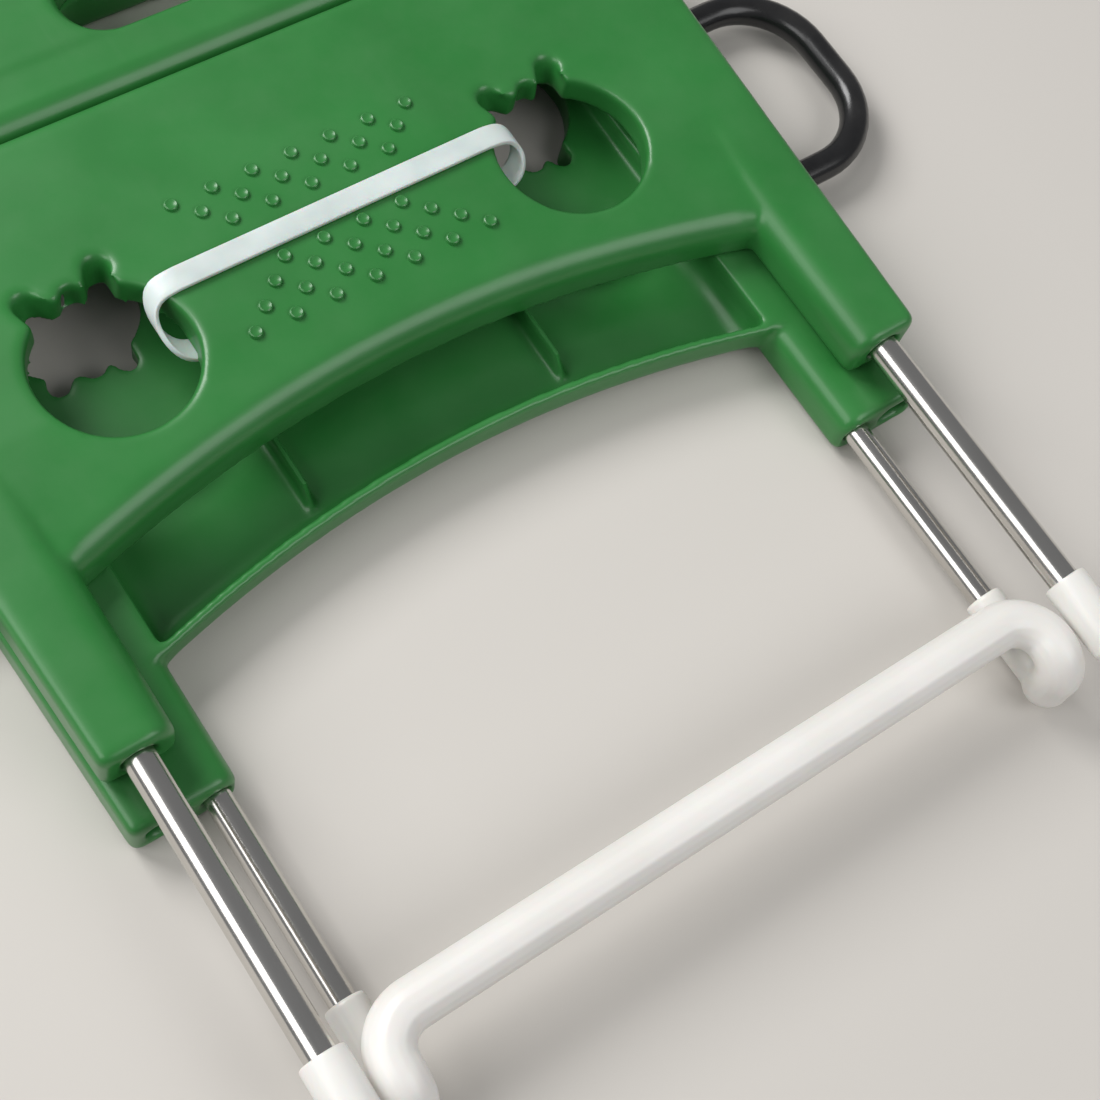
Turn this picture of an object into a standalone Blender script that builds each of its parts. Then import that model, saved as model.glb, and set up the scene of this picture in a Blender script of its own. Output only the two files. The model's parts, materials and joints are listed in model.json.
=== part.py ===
"""Centre-folding step stool, stored folded flat.

Two moulded leg panels carry round steel legs in side sleeves.  Each leg panel
is hinged to one half of the seat, and the seat halves are hinged together at
the far end.  The stool lies folded on its lower leg panel: +Y points from the
feet to the seat, +X to the right, +Z up.  All sizes are in metres.
"""
import math

import bmesh
import bpy
from mathutils import Matrix, Vector

# ---- driving sizes -------------------------------------------------------
LEG_LENGTH = 0.3085          # leg hinge axis to the end of the foot
SEAT_HALF_LENGTH = 0.0975    # leg hinge axis to centre hinge axis
PANEL_THICK = 0.018
LAYER_GAP = 0.0006           # between the two folded layers
HINGE_END_HALF_WIDTH = 0.147 # seat halves and hinge end of the leg panels
MOUTH_HALF_WIDTH = 0.139     # leg panels where the lower sleeves end
WALL = 0.0032                # every moulded wall
EDGE_ROUND = 0.0022
RUNNING_GAP = 0.0005         # between parts that turn past each other
FIT_GAP = 0.0003             # between parts that touch
PAST = 0.0100                # how far a cutter runs past the face it opens

# ---- leg hinges ----------------------------------------------------------
BARREL_RADIUS = 0.0085
LEG_ROD_RADIUS = 0.003
EAR_WIDTH = 0.020            # ear beside the seat half, on each side
TONGUE_STEP = 0.0006         # the tongue round the barrel is this much thinner
LEG_ROD_CAP_RADIUS = 0.0055
CENTRE_ROD_CAP_RADIUS = 0.0041
ROD_CAP_HEAD = 0.0018
ROD_CHAMFER = 0.0004
CROWN = 0.65                 # flat middle of a rod cap or screw head, as a share of its radius

# ---- centre hinge --------------------------------------------------------
KNUCKLE_RADIUS = 0.005
CENTRE_ROD_RADIUS = 0.002
KNUCKLE_COUNT = 8
END_BLOCK = 0.012            # solid end of each seat half
SEAT_RIB_X = 0.072
SEAT_SHOULDER_WALL = 0.0064  # beside the leg barrel

# ---- hand slot, one through each seat half -------------------------------
SLOT_LENGTH = 0.068
SLOT_WIDTH = 0.028
SLOT_OFFSET = 0.0265         # leg hinge axis to the middle of the slot

# ---- legs ----------------------------------------------------------------
UPPER_TUBE_RADIUS = 0.00475
LOWER_TUBE_RADIUS = 0.0040
TUBE_WALL = 0.0010
UPPER_TUBE_X = 0.128
SOCKET_DEPTH = 0.085
UPPER_SLEEVE_WALL = 0.00645  # inboard of the tube
LOWER_SLEEVE_WALL = 0.0042

# ---- leg panels, measured from the leg hinge axis towards the feet --------
UPPER_MOUTH = 0.1905
UPPER_ARCH_CORNER = 0.1385
UPPER_ARCH_RISE = 0.0175
LOWER_MOUTH = 0.2055
LOWER_ARCH_CORNER = 0.1655
LOWER_ARCH_RISE = 0.0150
ARCH_STEPS = 16
RIB_X = 0.045
RIB_THICK = 0.0025
RIB_DEPTH = 0.0075           # below the face plate
CROSS_RIB = 0.050            # leg hinge axis to the cross rib
POCKET_LAP = 0.0006          # how far the hollow runs past the inner face of a sleeve

# ---- cut-outs: their lobes point to the seat above, and to the feet below --
HOLE_X = 0.0784
UPPER_HOLE_Y = 0.0876        # leg hinge axis to the middle of the cut-out
LOWER_HOLE_Y = 0.0520
HOLE_RADIUS = 0.024
UPPER_COLLAR_WALL = 0.0025   # wall round a cut-out, below the face plate
LOWER_COLLAR_WALL = 0.0140   # a broad land, level with the inner face
LOBE_RADIUS = 0.0060
LEFT_LOBE = (-0.0125, 0.0240)
RIGHT_LOBE = (0.0100, 0.0255)
NOTCH = (-0.0005, 0.0215)
NOTCH_RADIUS = 0.0042
LOBE_ROOT = 0.5              # where a lobe starts, as a share of its reach

# ---- anti-slip dots ------------------------------------------------------
DOT_RADIUS = 0.0020
DOT_HEIGHT = 0.0009
DOT_PITCH = 0.0134
DOT_ROW_PITCH = 0.0060
DOT_ROWS = (7, 6, 5, 4, 3, 4, 5, 6, 7)
DOTS_Y = 0.0757              # leg hinge axis to the middle row

# ---- mouth of the wide lower sleeve --------------------------------------
SLOT_MOUTH_HEIGHT = 0.009
SLOT_MOUTH_WIDTH = 0.011
SLOT_MOUTH_EDGE = 0.0045     # outer side of the panel to the recess
SLOT_MOUTH_DEPTH = 0.030

# ---- feet ----------------------------------------------------------------
CAP_WALL = 0.00175
UPPER_CAP_LENGTH = 0.0283
LOWER_CAP_LENGTH = 0.0390
CAP_ROUND = 0.0050           # how far back the round end of a cap reaches
UPPER_CAP_FLOOR = 0.0060
LOWER_CAP_FLOOR = 0.0110     # the bar's end fills the socket this far
CAP_LIP = 0.0008             # chamfer at the mouth of a cap
BAR_RADIUS = 0.00725
BALL_PROUD = 0.0002          # the ball at the bar's end stands this proud of it
BAR_BACK = 0.0275            # end of the foot to the middle of the bar
BAR_RISE = 0.0155            # middle of the lower legs to the middle of the bar
BAR_BEND = 0.012

# ---- carry strap ---------------------------------------------------------
STRAP_WIDTH = 0.0076
STRAP_THICK = 0.0016
STRAP_Y = 0.0745             # leg hinge axis to the strap
STRAP_HANG = 0.0056          # edge of a cut-out to the middle of the strap's end bend

# ---- side loops ----------------------------------------------------------
LOOP_RADIUS = 0.0050
LOOP_REACH = 0.054           # from the side of the panel
LOOP_SPAN = 0.068
LOOP_Y = 0.0860              # leg hinge axis to the middle of the loop
LOOP_PLUG = 0.009            # end of the loop that sits in the panel
LOOP_BEND = 0.026

# ---- screws --------------------------------------------------------------
SCREW_HEAD_RADIUS = 0.0028
SCREW_SHANK_RADIUS = 0.0012
SCREW_HEAD = 0.0014
SCREW_TIP = 0.0006           # length of the pointed end
SCREW_TIP_RADIUS = 0.0004
TUBE_SCREW_BACK = 0.078      # sleeve mouth to the screw
SCREW_RECESS = 0.0017

# ---- places that follow from the sizes ------------------------------------
OVERALL_LENGTH = LEG_LENGTH + SEAT_HALF_LENGTH + KNUCKLE_RADIUS
FOOT_Y = -OVERALL_LENGTH / 2
LEG_AXIS_Y = FOOT_Y + LEG_LENGTH
CENTRE_AXIS_Y = LEG_AXIS_Y + SEAT_HALF_LENGTH
LOWER_Z = PANEL_THICK / 2
UPPER_Z = PANEL_THICK + LAYER_GAP + PANEL_THICK / 2
CENTRE_AXIS_Z = PANEL_THICK + LAYER_GAP / 2
PANEL_END = BARREL_RADIUS + RUNNING_GAP    # leg hinge axis to the panel's end
EAR_INNER_X = HINGE_END_HALF_WIDTH - EAR_WIDTH
LOWER_TUBE_X = (UPPER_TUBE_X - UPPER_TUBE_RADIUS - FIT_GAP - CAP_WALL    # the lower feet pass
                - BAR_RADIUS - BALL_PROUD - FIT_GAP)                     # inside the upper caps
UPPER_SLEEVE_INNER_X = UPPER_TUBE_X - UPPER_TUBE_RADIUS - FIT_GAP - UPPER_SLEEVE_WALL
LOWER_SLEEVE_INNER_X = LOWER_TUBE_X - LOWER_TUBE_RADIUS - FIT_GAP - LOWER_SLEEVE_WALL
STRAP_END_X = HOLE_X - HOLE_RADIUS + STRAP_HANG
BAR_HEIGHT = LOWER_Z + BAR_RISE
BIG = 0.5
MERGE = 0.000002             # points nearer than this are one

# ---- finishes: colour, roughness, metallic --------------------------------
FINISHES = {
    "green_plastic": ((0.045, 0.205, 0.060, 1.0), 0.30, 0.0),
    "white_plastic": ((0.80, 0.79, 0.76, 1.0), 0.35, 0.0),
    "strap_nylon": ((0.62, 0.68, 0.64, 1.0), 0.40, 0.0),
    "black_plastic": ((0.012, 0.012, 0.012, 1.0), 0.25, 0.0),
    "steel": ((0.60, 0.58, 0.55, 1.0), 0.22, 1.0),
}


def clear_scene():
    """Remove every object that the scene starts with."""
    for obj in list(bpy.data.objects):
        bpy.data.objects.remove(obj)


def make_collection(name):
    """A new collection under the scene."""
    group = bpy.data.collections.new(name)
    bpy.context.scene.collection.children.link(group)
    return group


clear_scene()
STOOL = make_collection("folding_step_stool")
CUTTERS = make_collection("cutters")


def finish(name):
    """The named material, made on first use."""
    if name in bpy.data.materials:
        return bpy.data.materials[name]
    colour, roughness, metallic = FINISHES[name]
    material = bpy.data.materials.new(name)
    material.use_nodes = True
    shader = material.node_tree.nodes["Principled BSDF"]
    shader.inputs["Base Color"].default_value = colour
    shader.inputs["Roughness"].default_value = roughness
    shader.inputs["Metallic"].default_value = metallic
    return material


def new_object(name, mesh, group=None):
    """Link a mesh as a new object."""
    obj = bpy.data.objects.new(name, mesh)
    (group or CUTTERS).objects.link(obj)
    if group is None:
        obj.hide_render = True
        obj.display_type = "WIRE"
    return obj


def baked(obj):
    """Replace an object's mesh with its evaluated, world-placed mesh."""
    bpy.context.view_layer.update()
    graph = bpy.context.evaluated_depsgraph_get()
    mesh = bpy.data.meshes.new_from_object(obj.evaluated_get(graph))
    mesh.transform(obj.matrix_world)
    work = bmesh.new()
    work.from_mesh(mesh)
    bmesh.ops.remove_doubles(work, verts=work.verts, dist=MERGE)
    work.to_mesh(mesh)
    work.free()
    name = obj.name
    bpy.data.objects.remove(obj)
    return new_object(name, mesh)


def outline(name, points, z_low, z_high):
    """A flat outline, filled and extruded from z_low to z_high."""
    curve = bpy.data.curves.new(name, "CURVE")
    curve.dimensions = "2D"
    curve.fill_mode = "BOTH"
    curve.extrude = (z_high - z_low) / 2
    spline = curve.splines.new("POLY")
    spline.points.add(len(points) - 1)
    for point, (x, y) in zip(spline.points, points):
        point.co = (x, y, 0.0, 1.0)
    spline.use_cyclic_u = True
    obj = bpy.data.objects.new(name, curve)
    CUTTERS.objects.link(obj)
    obj.location.z = (z_low + z_high) / 2
    return baked(obj)


def cylinder(name, radius, low, high, vertices=24):
    """A closed cylinder between two points."""
    low, high = Vector(low), Vector(high)
    work = bmesh.new()
    bmesh.ops.create_cone(work, cap_ends=True, segments=vertices, radius1=radius,
                          radius2=radius, depth=(high - low).length)
    turn = (high - low).to_track_quat("Z", "Y").to_matrix().to_4x4()
    bmesh.ops.transform(work, verts=work.verts, matrix=Matrix.Translation((low + high) / 2) @ turn)
    mesh = bpy.data.meshes.new(name)
    work.to_mesh(mesh)
    work.free()
    return new_object(name, mesh)


def box(name, low, high):
    """A closed box between two corners."""
    work = bmesh.new()
    bmesh.ops.create_cube(work, size=1.0)
    low, high = Vector(low), Vector(high)
    size = high - low
    scale = Matrix.Diagonal((size.x, size.y, size.z, 1.0))
    bmesh.ops.transform(work, verts=work.verts, matrix=Matrix.Translation((low + high) / 2) @ scale)
    mesh = bpy.data.meshes.new(name)
    work.to_mesh(mesh)
    work.free()
    return new_object(name, mesh)


def tube_path(name, points, radius, sides=3):
    """A round bar along a path, with closed ends."""
    curve = bpy.data.curves.new(name, "CURVE")
    curve.dimensions = "3D"
    curve.bevel_depth = radius
    curve.bevel_resolution = sides
    curve.use_fill_caps = True
    spline = curve.splines.new("POLY")
    spline.points.add(len(points) - 1)
    for point, place in zip(spline.points, points):
        point.co = (*place, 1.0)
    obj = bpy.data.objects.new(name, curve)
    CUTTERS.objects.link(obj)
    return baked(obj)


def turned(name, profile, start, direction, steps=20):
    """Turn a (radius, distance) profile about a line from start."""
    mesh = bpy.data.meshes.new(name)
    places = [(radius, 0.0, along) for radius, along in profile]
    closed = min(radius for radius, along in profile) > 0.0
    edges = [(i, i + 1) for i in range(len(places) - 1)]
    if closed:
        edges.append((len(places) - 1, 0))
    mesh.from_pydata(places, edges, [])
    obj = new_object(name, mesh)
    screw = obj.modifiers.new("turn", "SCREW")
    screw.steps = steps
    screw.render_steps = steps
    screw.use_merge_vertices = True
    screw.merge_threshold = 0.00001
    turn = Vector(direction).to_track_quat("Z", "Y").to_matrix().to_4x4()
    obj.matrix_world = Matrix.Translation(start) @ turn
    return baked(obj)


def combine(target, tool, operation):
    """Join a tool to a target, or cut it away, and drop the tool."""
    change = target.modifiers.new(tool.name, "BOOLEAN")
    change.operation = operation
    change.solver = "EXACT"
    change.object = tool
    result = baked(target)
    bpy.data.objects.remove(tool)
    return result


def cut(target, *tools):
    """Cut each tool away from the target."""
    for tool in tools:
        target = combine(target, tool, "DIFFERENCE")
    return target


def join(target, *tools):
    """Join each tool to the target."""
    for tool in tools:
        target = combine(target, tool, "UNION")
    return target


def rounded(obj, width, segments=2, angle=50):
    """Round the sharp edges of a closed solid, its flat faces made whole first."""
    work = bmesh.new()
    work.from_mesh(obj.data)
    bmesh.ops.dissolve_limit(work, angle_limit=math.radians(1), verts=work.verts, edges=work.edges)
    work.to_mesh(obj.data)
    work.free()
    bevel = obj.modifiers.new("edges", "BEVEL")
    bevel.width = width
    bevel.segments = segments
    bevel.limit_method = "ANGLE"
    bevel.angle_limit = math.radians(angle)
    return baked(obj)


def publish(obj, name, finish_name, origin=None):
    """Put a finished solid in the stool's collection under its own name."""
    mesh = obj.data
    mesh.materials.clear()
    mesh.materials.append(finish(finish_name))
    place = Vector(origin or (0.0, 0.0, 0.0))
    mesh.transform(Matrix.Translation(-place))
    mesh.shade_smooth()
    mesh.set_sharp_from_angle(angle=math.radians(35))
    bpy.data.objects.remove(obj)
    part = new_object(name, mesh, STOOL)
    part.location = place
    return part


def arch_points(half_width, corner_y, rise):
    """Points of a free edge that arches towards the seat, right to left."""
    points = []
    for step in range(ARCH_STEPS + 1):
        share = 1.0 - 2.0 * step / ARCH_STEPS
        points.append((share * half_width, corner_y + rise * (1.0 - share * share)))
    return points


def leg_outline(side_in, mouth, corner, rise):
    """Outline of a leg panel, ears at its hinge end included."""
    end_y = LEG_AXIS_Y - PANEL_END
    mouth_y = LEG_AXIS_Y - mouth
    right = [(EAR_INNER_X, end_y), (EAR_INNER_X, LEG_AXIS_Y), (HINGE_END_HALF_WIDTH, LEG_AXIS_Y),
             (MOUTH_HALF_WIDTH, mouth_y), (side_in, mouth_y)]
    left = [(-x, y) for x, y in reversed(right)]
    arch = arch_points(side_in, LEG_AXIS_Y - corner, rise)
    return right + arch + left


def capsule(name, start, tip, radius, z_low, z_high, steps=10):
    """An upright solid with two round ends, from start to tip."""
    start, tip = Vector(start), Vector(tip)
    along = math.atan2(tip.y - start.y, tip.x - start.x)
    points = []
    for middle, first in ((tip, along - math.pi / 2), (start, along + math.pi / 2)):
        for step in range(steps + 1):
            angle = first + math.pi * step / steps
            points.append((middle.x + radius * math.cos(angle), middle.y + radius * math.sin(angle)))
    return outline(name, points, z_low, z_high)


def cutout_tools(side, upper, z_low, z_high, grow=0.0):
    """Round opening with two lobes and a small notch between them."""
    x = side * HOLE_X
    y = LEG_AXIS_Y - (UPPER_HOLE_Y if upper else LOWER_HOLE_Y)
    turn = 1.0 if upper else -1.0
    tools = [cylinder("opening", HOLE_RADIUS + grow, (x, y, z_low), (x, y, z_high), 32)]
    for lobe_x, lobe_y in (LEFT_LOBE, RIGHT_LOBE):
        start = (x + lobe_x * LOBE_ROOT, y + turn * lobe_y * LOBE_ROOT)
        tip = (x + lobe_x, y + turn * lobe_y)
        tools.append(capsule("lobe", start, tip, LOBE_RADIUS + grow, z_low, z_high))
    notch = (x + NOTCH[0], y + turn * NOTCH[1])
    tools.append(cylinder("notch", NOTCH_RADIUS + grow, (*notch, z_low), (*notch, z_high), 20))
    return tools


def leg_panel(name, upper):
    """One moulded leg panel: face plate, rim, ribs, collars, sleeves and ears."""
    mid_z = UPPER_Z if upper else LOWER_Z
    out = 1.0 if upper else -1.0              # towards the outer face
    side_in = UPPER_SLEEVE_INNER_X if upper else LOWER_SLEEVE_INNER_X
    mouth = UPPER_MOUTH if upper else LOWER_MOUTH
    corner = UPPER_ARCH_CORNER if upper else LOWER_ARCH_CORNER
    rise = UPPER_ARCH_RISE if upper else LOWER_ARCH_RISE
    tube_x = UPPER_TUBE_X if upper else LOWER_TUBE_X
    tube_radius = UPPER_TUBE_RADIUS if upper else LOWER_TUBE_RADIUS
    collar = UPPER_COLLAR_WALL if upper else LOWER_COLLAR_WALL
    half = PANEL_THICK / 2
    points = leg_outline(side_in, mouth, corner, rise)
    panel = outline(name, points, mid_z - half, mid_z + half)
    for side in (-1, 1):
        ear = cylinder("ear", half, (side * EAR_INNER_X, LEG_AXIS_Y, mid_z),
                       (side * HINGE_END_HALF_WIDTH, LEG_AXIS_Y, mid_z), 24)
        panel = join(panel, ear)
    panel = rounded(panel, EDGE_ROUND)

    # hollow underside between the sleeves
    plate = sorted((mid_z + out * (half - WALL), mid_z - out * BIG))
    pocket_in = side_in - POCKET_LAP
    end_y = LEG_AXIS_Y - PANEL_END - WALL
    arch = arch_points(pocket_in, LEG_AXIS_Y - corner + WALL, rise)
    pocket = outline("pocket", [(pocket_in, end_y)] + arch + [(-pocket_in, end_y)], *plate)
    rib_low, rib_high = sorted((mid_z + out * (half - WALL - RIB_DEPTH), mid_z + out * half))
    for side in (-1, 1):
        middle = side * RIB_X
        rib = box("rib", (middle - RIB_THICK / 2, -BIG, rib_low), (middle + RIB_THICK / 2, BIG, rib_high))
        pocket = cut(pocket, rib, *cutout_tools(side, upper, rib_low, rib_high, collar))
    rib_y = LEG_AXIS_Y - CROSS_RIB
    cross = box("cross", (-BIG, rib_y - RIB_THICK / 2, rib_low), (BIG, rib_y + RIB_THICK / 2, rib_high))
    pocket = cut(pocket, cross)
    panel = cut(panel, pocket)

    # openings, tube sockets and the rod's bore
    for side in (-1, 1):
        panel = cut(panel, *cutout_tools(side, upper, -PAST, 2 * PANEL_THICK + PAST))
        mouth_y = LEG_AXIS_Y - mouth
        x = side * tube_x
        socket = cylinder("socket", tube_radius + FIT_GAP, (x, mouth_y - PAST, mid_z),
                          (x, mouth_y + SOCKET_DEPTH, mid_z), 24)
        panel = cut(panel, socket)
        hole_y = mouth_y + TUBE_SCREW_BACK
        inner_face = mid_z - out * half
        head = cylinder("head", SCREW_HEAD_RADIUS + FIT_GAP, (x, hole_y, inner_face - out * PAST),
                        (x, hole_y, inner_face + out * SCREW_RECESS), 20)
        shank = cylinder("shank", SCREW_SHANK_RADIUS + FIT_GAP, (x, hole_y, inner_face - out * PAST),
                         (x, hole_y, mid_z), 16)
        panel = cut(panel, head, shank)
        if not upper:
            panel = cut(panel, slot_mouth(side, mouth_y), *loop_seats(side))
    rod = cylinder("rod", LEG_ROD_RADIUS + FIT_GAP, (-BIG, LEG_AXIS_Y, mid_z), (BIG, LEG_AXIS_Y, mid_z), 24)
    panel = cut(panel, rod)
    if upper:
        for dot in dots(mid_z + half):
            panel = join(panel, dot)
    return publish(panel, name, "green_plastic", (0.0, LEG_AXIS_Y, mid_z))


def slot_mouth(side, mouth_y):
    """Long recess beside the tube in the wide sleeve's mouth."""
    radius = SLOT_MOUTH_HEIGHT / 2
    outer = MOUTH_HALF_WIDTH - SLOT_MOUTH_EDGE
    low_x, high_x = sorted((side * outer, side * (outer - SLOT_MOUTH_WIDTH)))
    return box("recess", (low_x, mouth_y - PAST, LOWER_Z - radius),
               (high_x, mouth_y + SLOT_MOUTH_DEPTH, LOWER_Z + radius))


def loop_end_places(side):
    """Where the two ends of a side loop enter the panel."""
    middle = LEG_AXIS_Y - LOOP_Y
    return [(side, middle - LOOP_SPAN / 2), (side, middle + LOOP_SPAN / 2)]


def side_x(y):
    """Outer half width of a leg panel at y."""
    share = (LEG_AXIS_Y - y) / LOWER_MOUTH
    return HINGE_END_HALF_WIDTH + (MOUTH_HALF_WIDTH - HINGE_END_HALF_WIDTH) * share


def loop_seats(side):
    """Bores for the ends of a side loop, and for their screws."""
    tools = []
    for _, y in loop_end_places(side):
        inner = side_x(y) - LOOP_PLUG
        tools.append(cylinder("seat", LOOP_RADIUS + FIT_GAP, (side * inner, y, LOWER_Z),
                              (side * (inner + LOOP_PLUG + PAST), y, LOWER_Z), 20))
        x = side * (inner + LOOP_PLUG / 2)
        tools.append(cylinder("head", SCREW_HEAD_RADIUS + FIT_GAP, (x, y, PANEL_THICK - SCREW_RECESS),
                              (x, y, PANEL_THICK + PAST), 20))
        tools.append(cylinder("shank", SCREW_SHANK_RADIUS + FIT_GAP, (x, y, LOWER_Z),
                              (x, y, PANEL_THICK + PAST), 16))
    return tools


def dots(face_z):
    """Raised anti-slip dots in an hourglass pattern."""
    middle_row = (len(DOT_ROWS) - 1) / 2
    found = []
    for row, count in enumerate(DOT_ROWS):
        y = LEG_AXIS_Y - DOTS_Y + (middle_row - row) * DOT_ROW_PITCH
        if abs(y - (LEG_AXIS_Y - STRAP_Y)) < STRAP_WIDTH / 2 + DOT_RADIUS:
            continue
        for index in range(count):
            x = (index - (count - 1) / 2) * DOT_PITCH
            low, high = (x, y, face_z - DOT_HEIGHT), (x, y, face_z + DOT_HEIGHT)
            found.append(cylinder("dot", DOT_RADIUS, low, high, 8))
    return found


def seat_half(name, upper):
    """One half of the seat, with its leg barrel and its hinge knuckles."""
    mid_z = UPPER_Z if upper else LOWER_Z
    out = 1.0 if upper else -1.0
    half = PANEL_THICK / 2
    shoulder_y = LEG_AXIS_Y + half + RUNNING_GAP
    end_y = CENTRE_AXIS_Y - FIT_GAP
    narrow = EAR_INNER_X - RUNNING_GAP
    wide = HINGE_END_HALF_WIDTH
    seat = box("seat", (-wide, shoulder_y, mid_z - half), (wide, end_y + END_BLOCK, mid_z + half))
    seat = rounded(seat, EDGE_ROUND)
    seat = cut(seat, box("trim", (-BIG, end_y, -BIG), (BIG, BIG, BIG)))
    depth = half - TONGUE_STEP
    tongue = box("tongue", (-narrow, LEG_AXIS_Y, mid_z - depth), (narrow, shoulder_y + WALL, mid_z + depth))
    reach = narrow - RUNNING_GAP
    barrel = cylinder("barrel", BARREL_RADIUS, (-reach, LEG_AXIS_Y, mid_z), (reach, LEG_AXIS_Y, mid_z), 24)
    seat = join(seat, tongue, barrel)

    # hollow underside, with a wall round the hand slot
    plate = sorted((mid_z + out * (half - WALL), mid_z - out * BIG))
    low_y = shoulder_y + SEAT_SHOULDER_WALL
    high_y = CENTRE_AXIS_Y - END_BLOCK
    pocket = box("pocket", (-wide + WALL, low_y, plate[0]), (wide - WALL, high_y, plate[1]))
    pocket = cut(pocket, stadium("wall", SLOT_LENGTH / 2 + WALL, SLOT_WIDTH / 2 + WALL, -BIG, BIG))
    for side in (-1, 1):
        middle = side * SEAT_RIB_X
        rib = box("rib", (middle - RIB_THICK / 2, -BIG, -BIG), (middle + RIB_THICK / 2, BIG, BIG))
        pocket = cut(pocket, rib)
    seat = cut(seat, pocket, stadium("hand", SLOT_LENGTH / 2, SLOT_WIDTH / 2, -BIG, BIG))
    rod = cylinder("rod", LEG_ROD_RADIUS + FIT_GAP, (-BIG, LEG_AXIS_Y, mid_z), (BIG, LEG_AXIS_Y, mid_z), 24)
    seat = cut(seat, rod)
    return knuckled(seat, name, upper)


def stadium(name, half_length, half_width, z_low, z_high):
    """Round-ended opening for the hand, across the seat."""
    y = LEG_AXIS_Y + SLOT_OFFSET
    offset = half_length - half_width
    return capsule(name, (-offset, y), (offset, y), half_width, z_low, z_high)


def knuckled(seat, name, upper):
    """Add a seat half's own hinge knuckles and clear the other half's."""
    pitch = 2 * HINGE_END_HALF_WIDTH / KNUCKLE_COUNT
    axis = (CENTRE_AXIS_Y, CENTRE_AXIS_Z)
    mid_z = UPPER_Z if upper else LOWER_Z
    for index in range(KNUCKLE_COUNT):
        low = -pitch * KNUCKLE_COUNT / 2 + index * pitch
        high = low + pitch
        own = (index % 2 == 0) == upper
        if own:
            low, high = low + RUNNING_GAP / 2, high - RUNNING_GAP / 2
            knuckle = cylinder("knuckle", KNUCKLE_RADIUS, (low, *axis), (high, *axis), 24)
            seat = join(seat, knuckle)
        else:
            low = -BIG if index == 0 else low
            high = BIG if index == KNUCKLE_COUNT - 1 else high
            space = cylinder("space", KNUCKLE_RADIUS + RUNNING_GAP, (low, *axis), (high, *axis), 24)
            seat = cut(seat, space)
    rod = cylinder("rod", CENTRE_ROD_RADIUS + FIT_GAP, (-BIG, *axis), (BIG, *axis), 20)
    seat = cut(seat, rod)
    origin = (0.0, LEG_AXIS_Y, mid_z) if not upper else (0.0, *axis)
    return publish(seat, name, "green_plastic", origin)


def pin(name, radius, start, end, origin):
    """A round steel rod with chamfered ends."""
    length = (Vector(end) - Vector(start)).length
    tip = radius - ROD_CHAMFER
    profile = [(0.0, length), (tip, length), (radius, length - ROD_CHAMFER), (radius, ROD_CHAMFER),
               (tip, 0.0), (0.0, 0.0)]
    rod = turned(name, profile, start, Vector(end) - Vector(start), 16)
    return publish(rod, name, "steel", origin)


def push_cap(name, rod_radius, head_radius, place, outwards):
    """Domed push-on cap over the end of a hinge rod."""
    bore = rod_radius + FIT_GAP
    depth = ROD_CAP_HEAD
    profile = [(0.0, depth), (head_radius * CROWN, depth), (head_radius, depth / 2), (head_radius, 0.0),
               (0.0, 0.0)]
    cap = turned(name, profile, place, outwards, 16)
    recess = cylinder("bore", bore, Vector(place) - Vector(outwards) * PAST,
                      Vector(place) + Vector(outwards) * depth / 2, 20)
    return publish(cut(cap, recess), name, "black_plastic", place)


def hinge_rods():
    """The three hinge rods and the cap on each end."""
    rods = (("leg_hinge_rod_lower", LEG_ROD_RADIUS, LEG_ROD_CAP_RADIUS, LEG_AXIS_Y, LOWER_Z),
            ("leg_hinge_rod_upper", LEG_ROD_RADIUS, LEG_ROD_CAP_RADIUS, LEG_AXIS_Y, UPPER_Z),
            ("centre_hinge_rod", CENTRE_ROD_RADIUS, CENTRE_ROD_CAP_RADIUS, CENTRE_AXIS_Y, CENTRE_AXIS_Z))
    for name, radius, head, y, z in rods:
        reach = HINGE_END_HALF_WIDTH + ROD_CAP_HEAD / 2
        pin(name, radius, (-reach, y, z), (reach, y, z), (0.0, y, z))
        for label, outwards in (("left", -1.0), ("right", 1.0)):
            cap_name = name.replace("_rod", "_cap") + "_" + label
            place = (outwards * (HINGE_END_HALF_WIDTH + FIT_GAP), y, z)
            push_cap(cap_name, radius, head, place, (outwards, 0.0, 0.0))


def leg_tube(name, x, z, radius, mouth, foot_gap):
    """One steel leg tube, open at both ends."""
    top_y = LEG_AXIS_Y - mouth + SOCKET_DEPTH - FIT_GAP
    low_y = FOOT_Y + foot_gap
    length = top_y - low_y
    profile = [(radius, length), (radius, 0.0), (radius - TUBE_WALL, 0.0), (radius - TUBE_WALL, length)]
    tube = turned(name, profile, (x, low_y, z), (0.0, 1.0, 0.0), 24)
    return publish(tube, name, "steel", (x, low_y, z))


def screw(name, place, downwards, length):
    """A pan head self-tapping screw."""
    tip = length - SCREW_HEAD
    profile = [(0.0, length), (SCREW_HEAD_RADIUS * CROWN, length), (SCREW_HEAD_RADIUS, length - SCREW_HEAD / 2),
               (SCREW_HEAD_RADIUS, tip), (SCREW_SHANK_RADIUS, tip), (SCREW_SHANK_RADIUS, SCREW_TIP),
               (SCREW_TIP_RADIUS, 0.0), (0.0, 0.0)]
    low = Vector(place) + Vector(downwards) * tip
    body = turned(name, profile, low, -Vector(downwards), 12)
    return publish(body, name, "steel", place)


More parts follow.
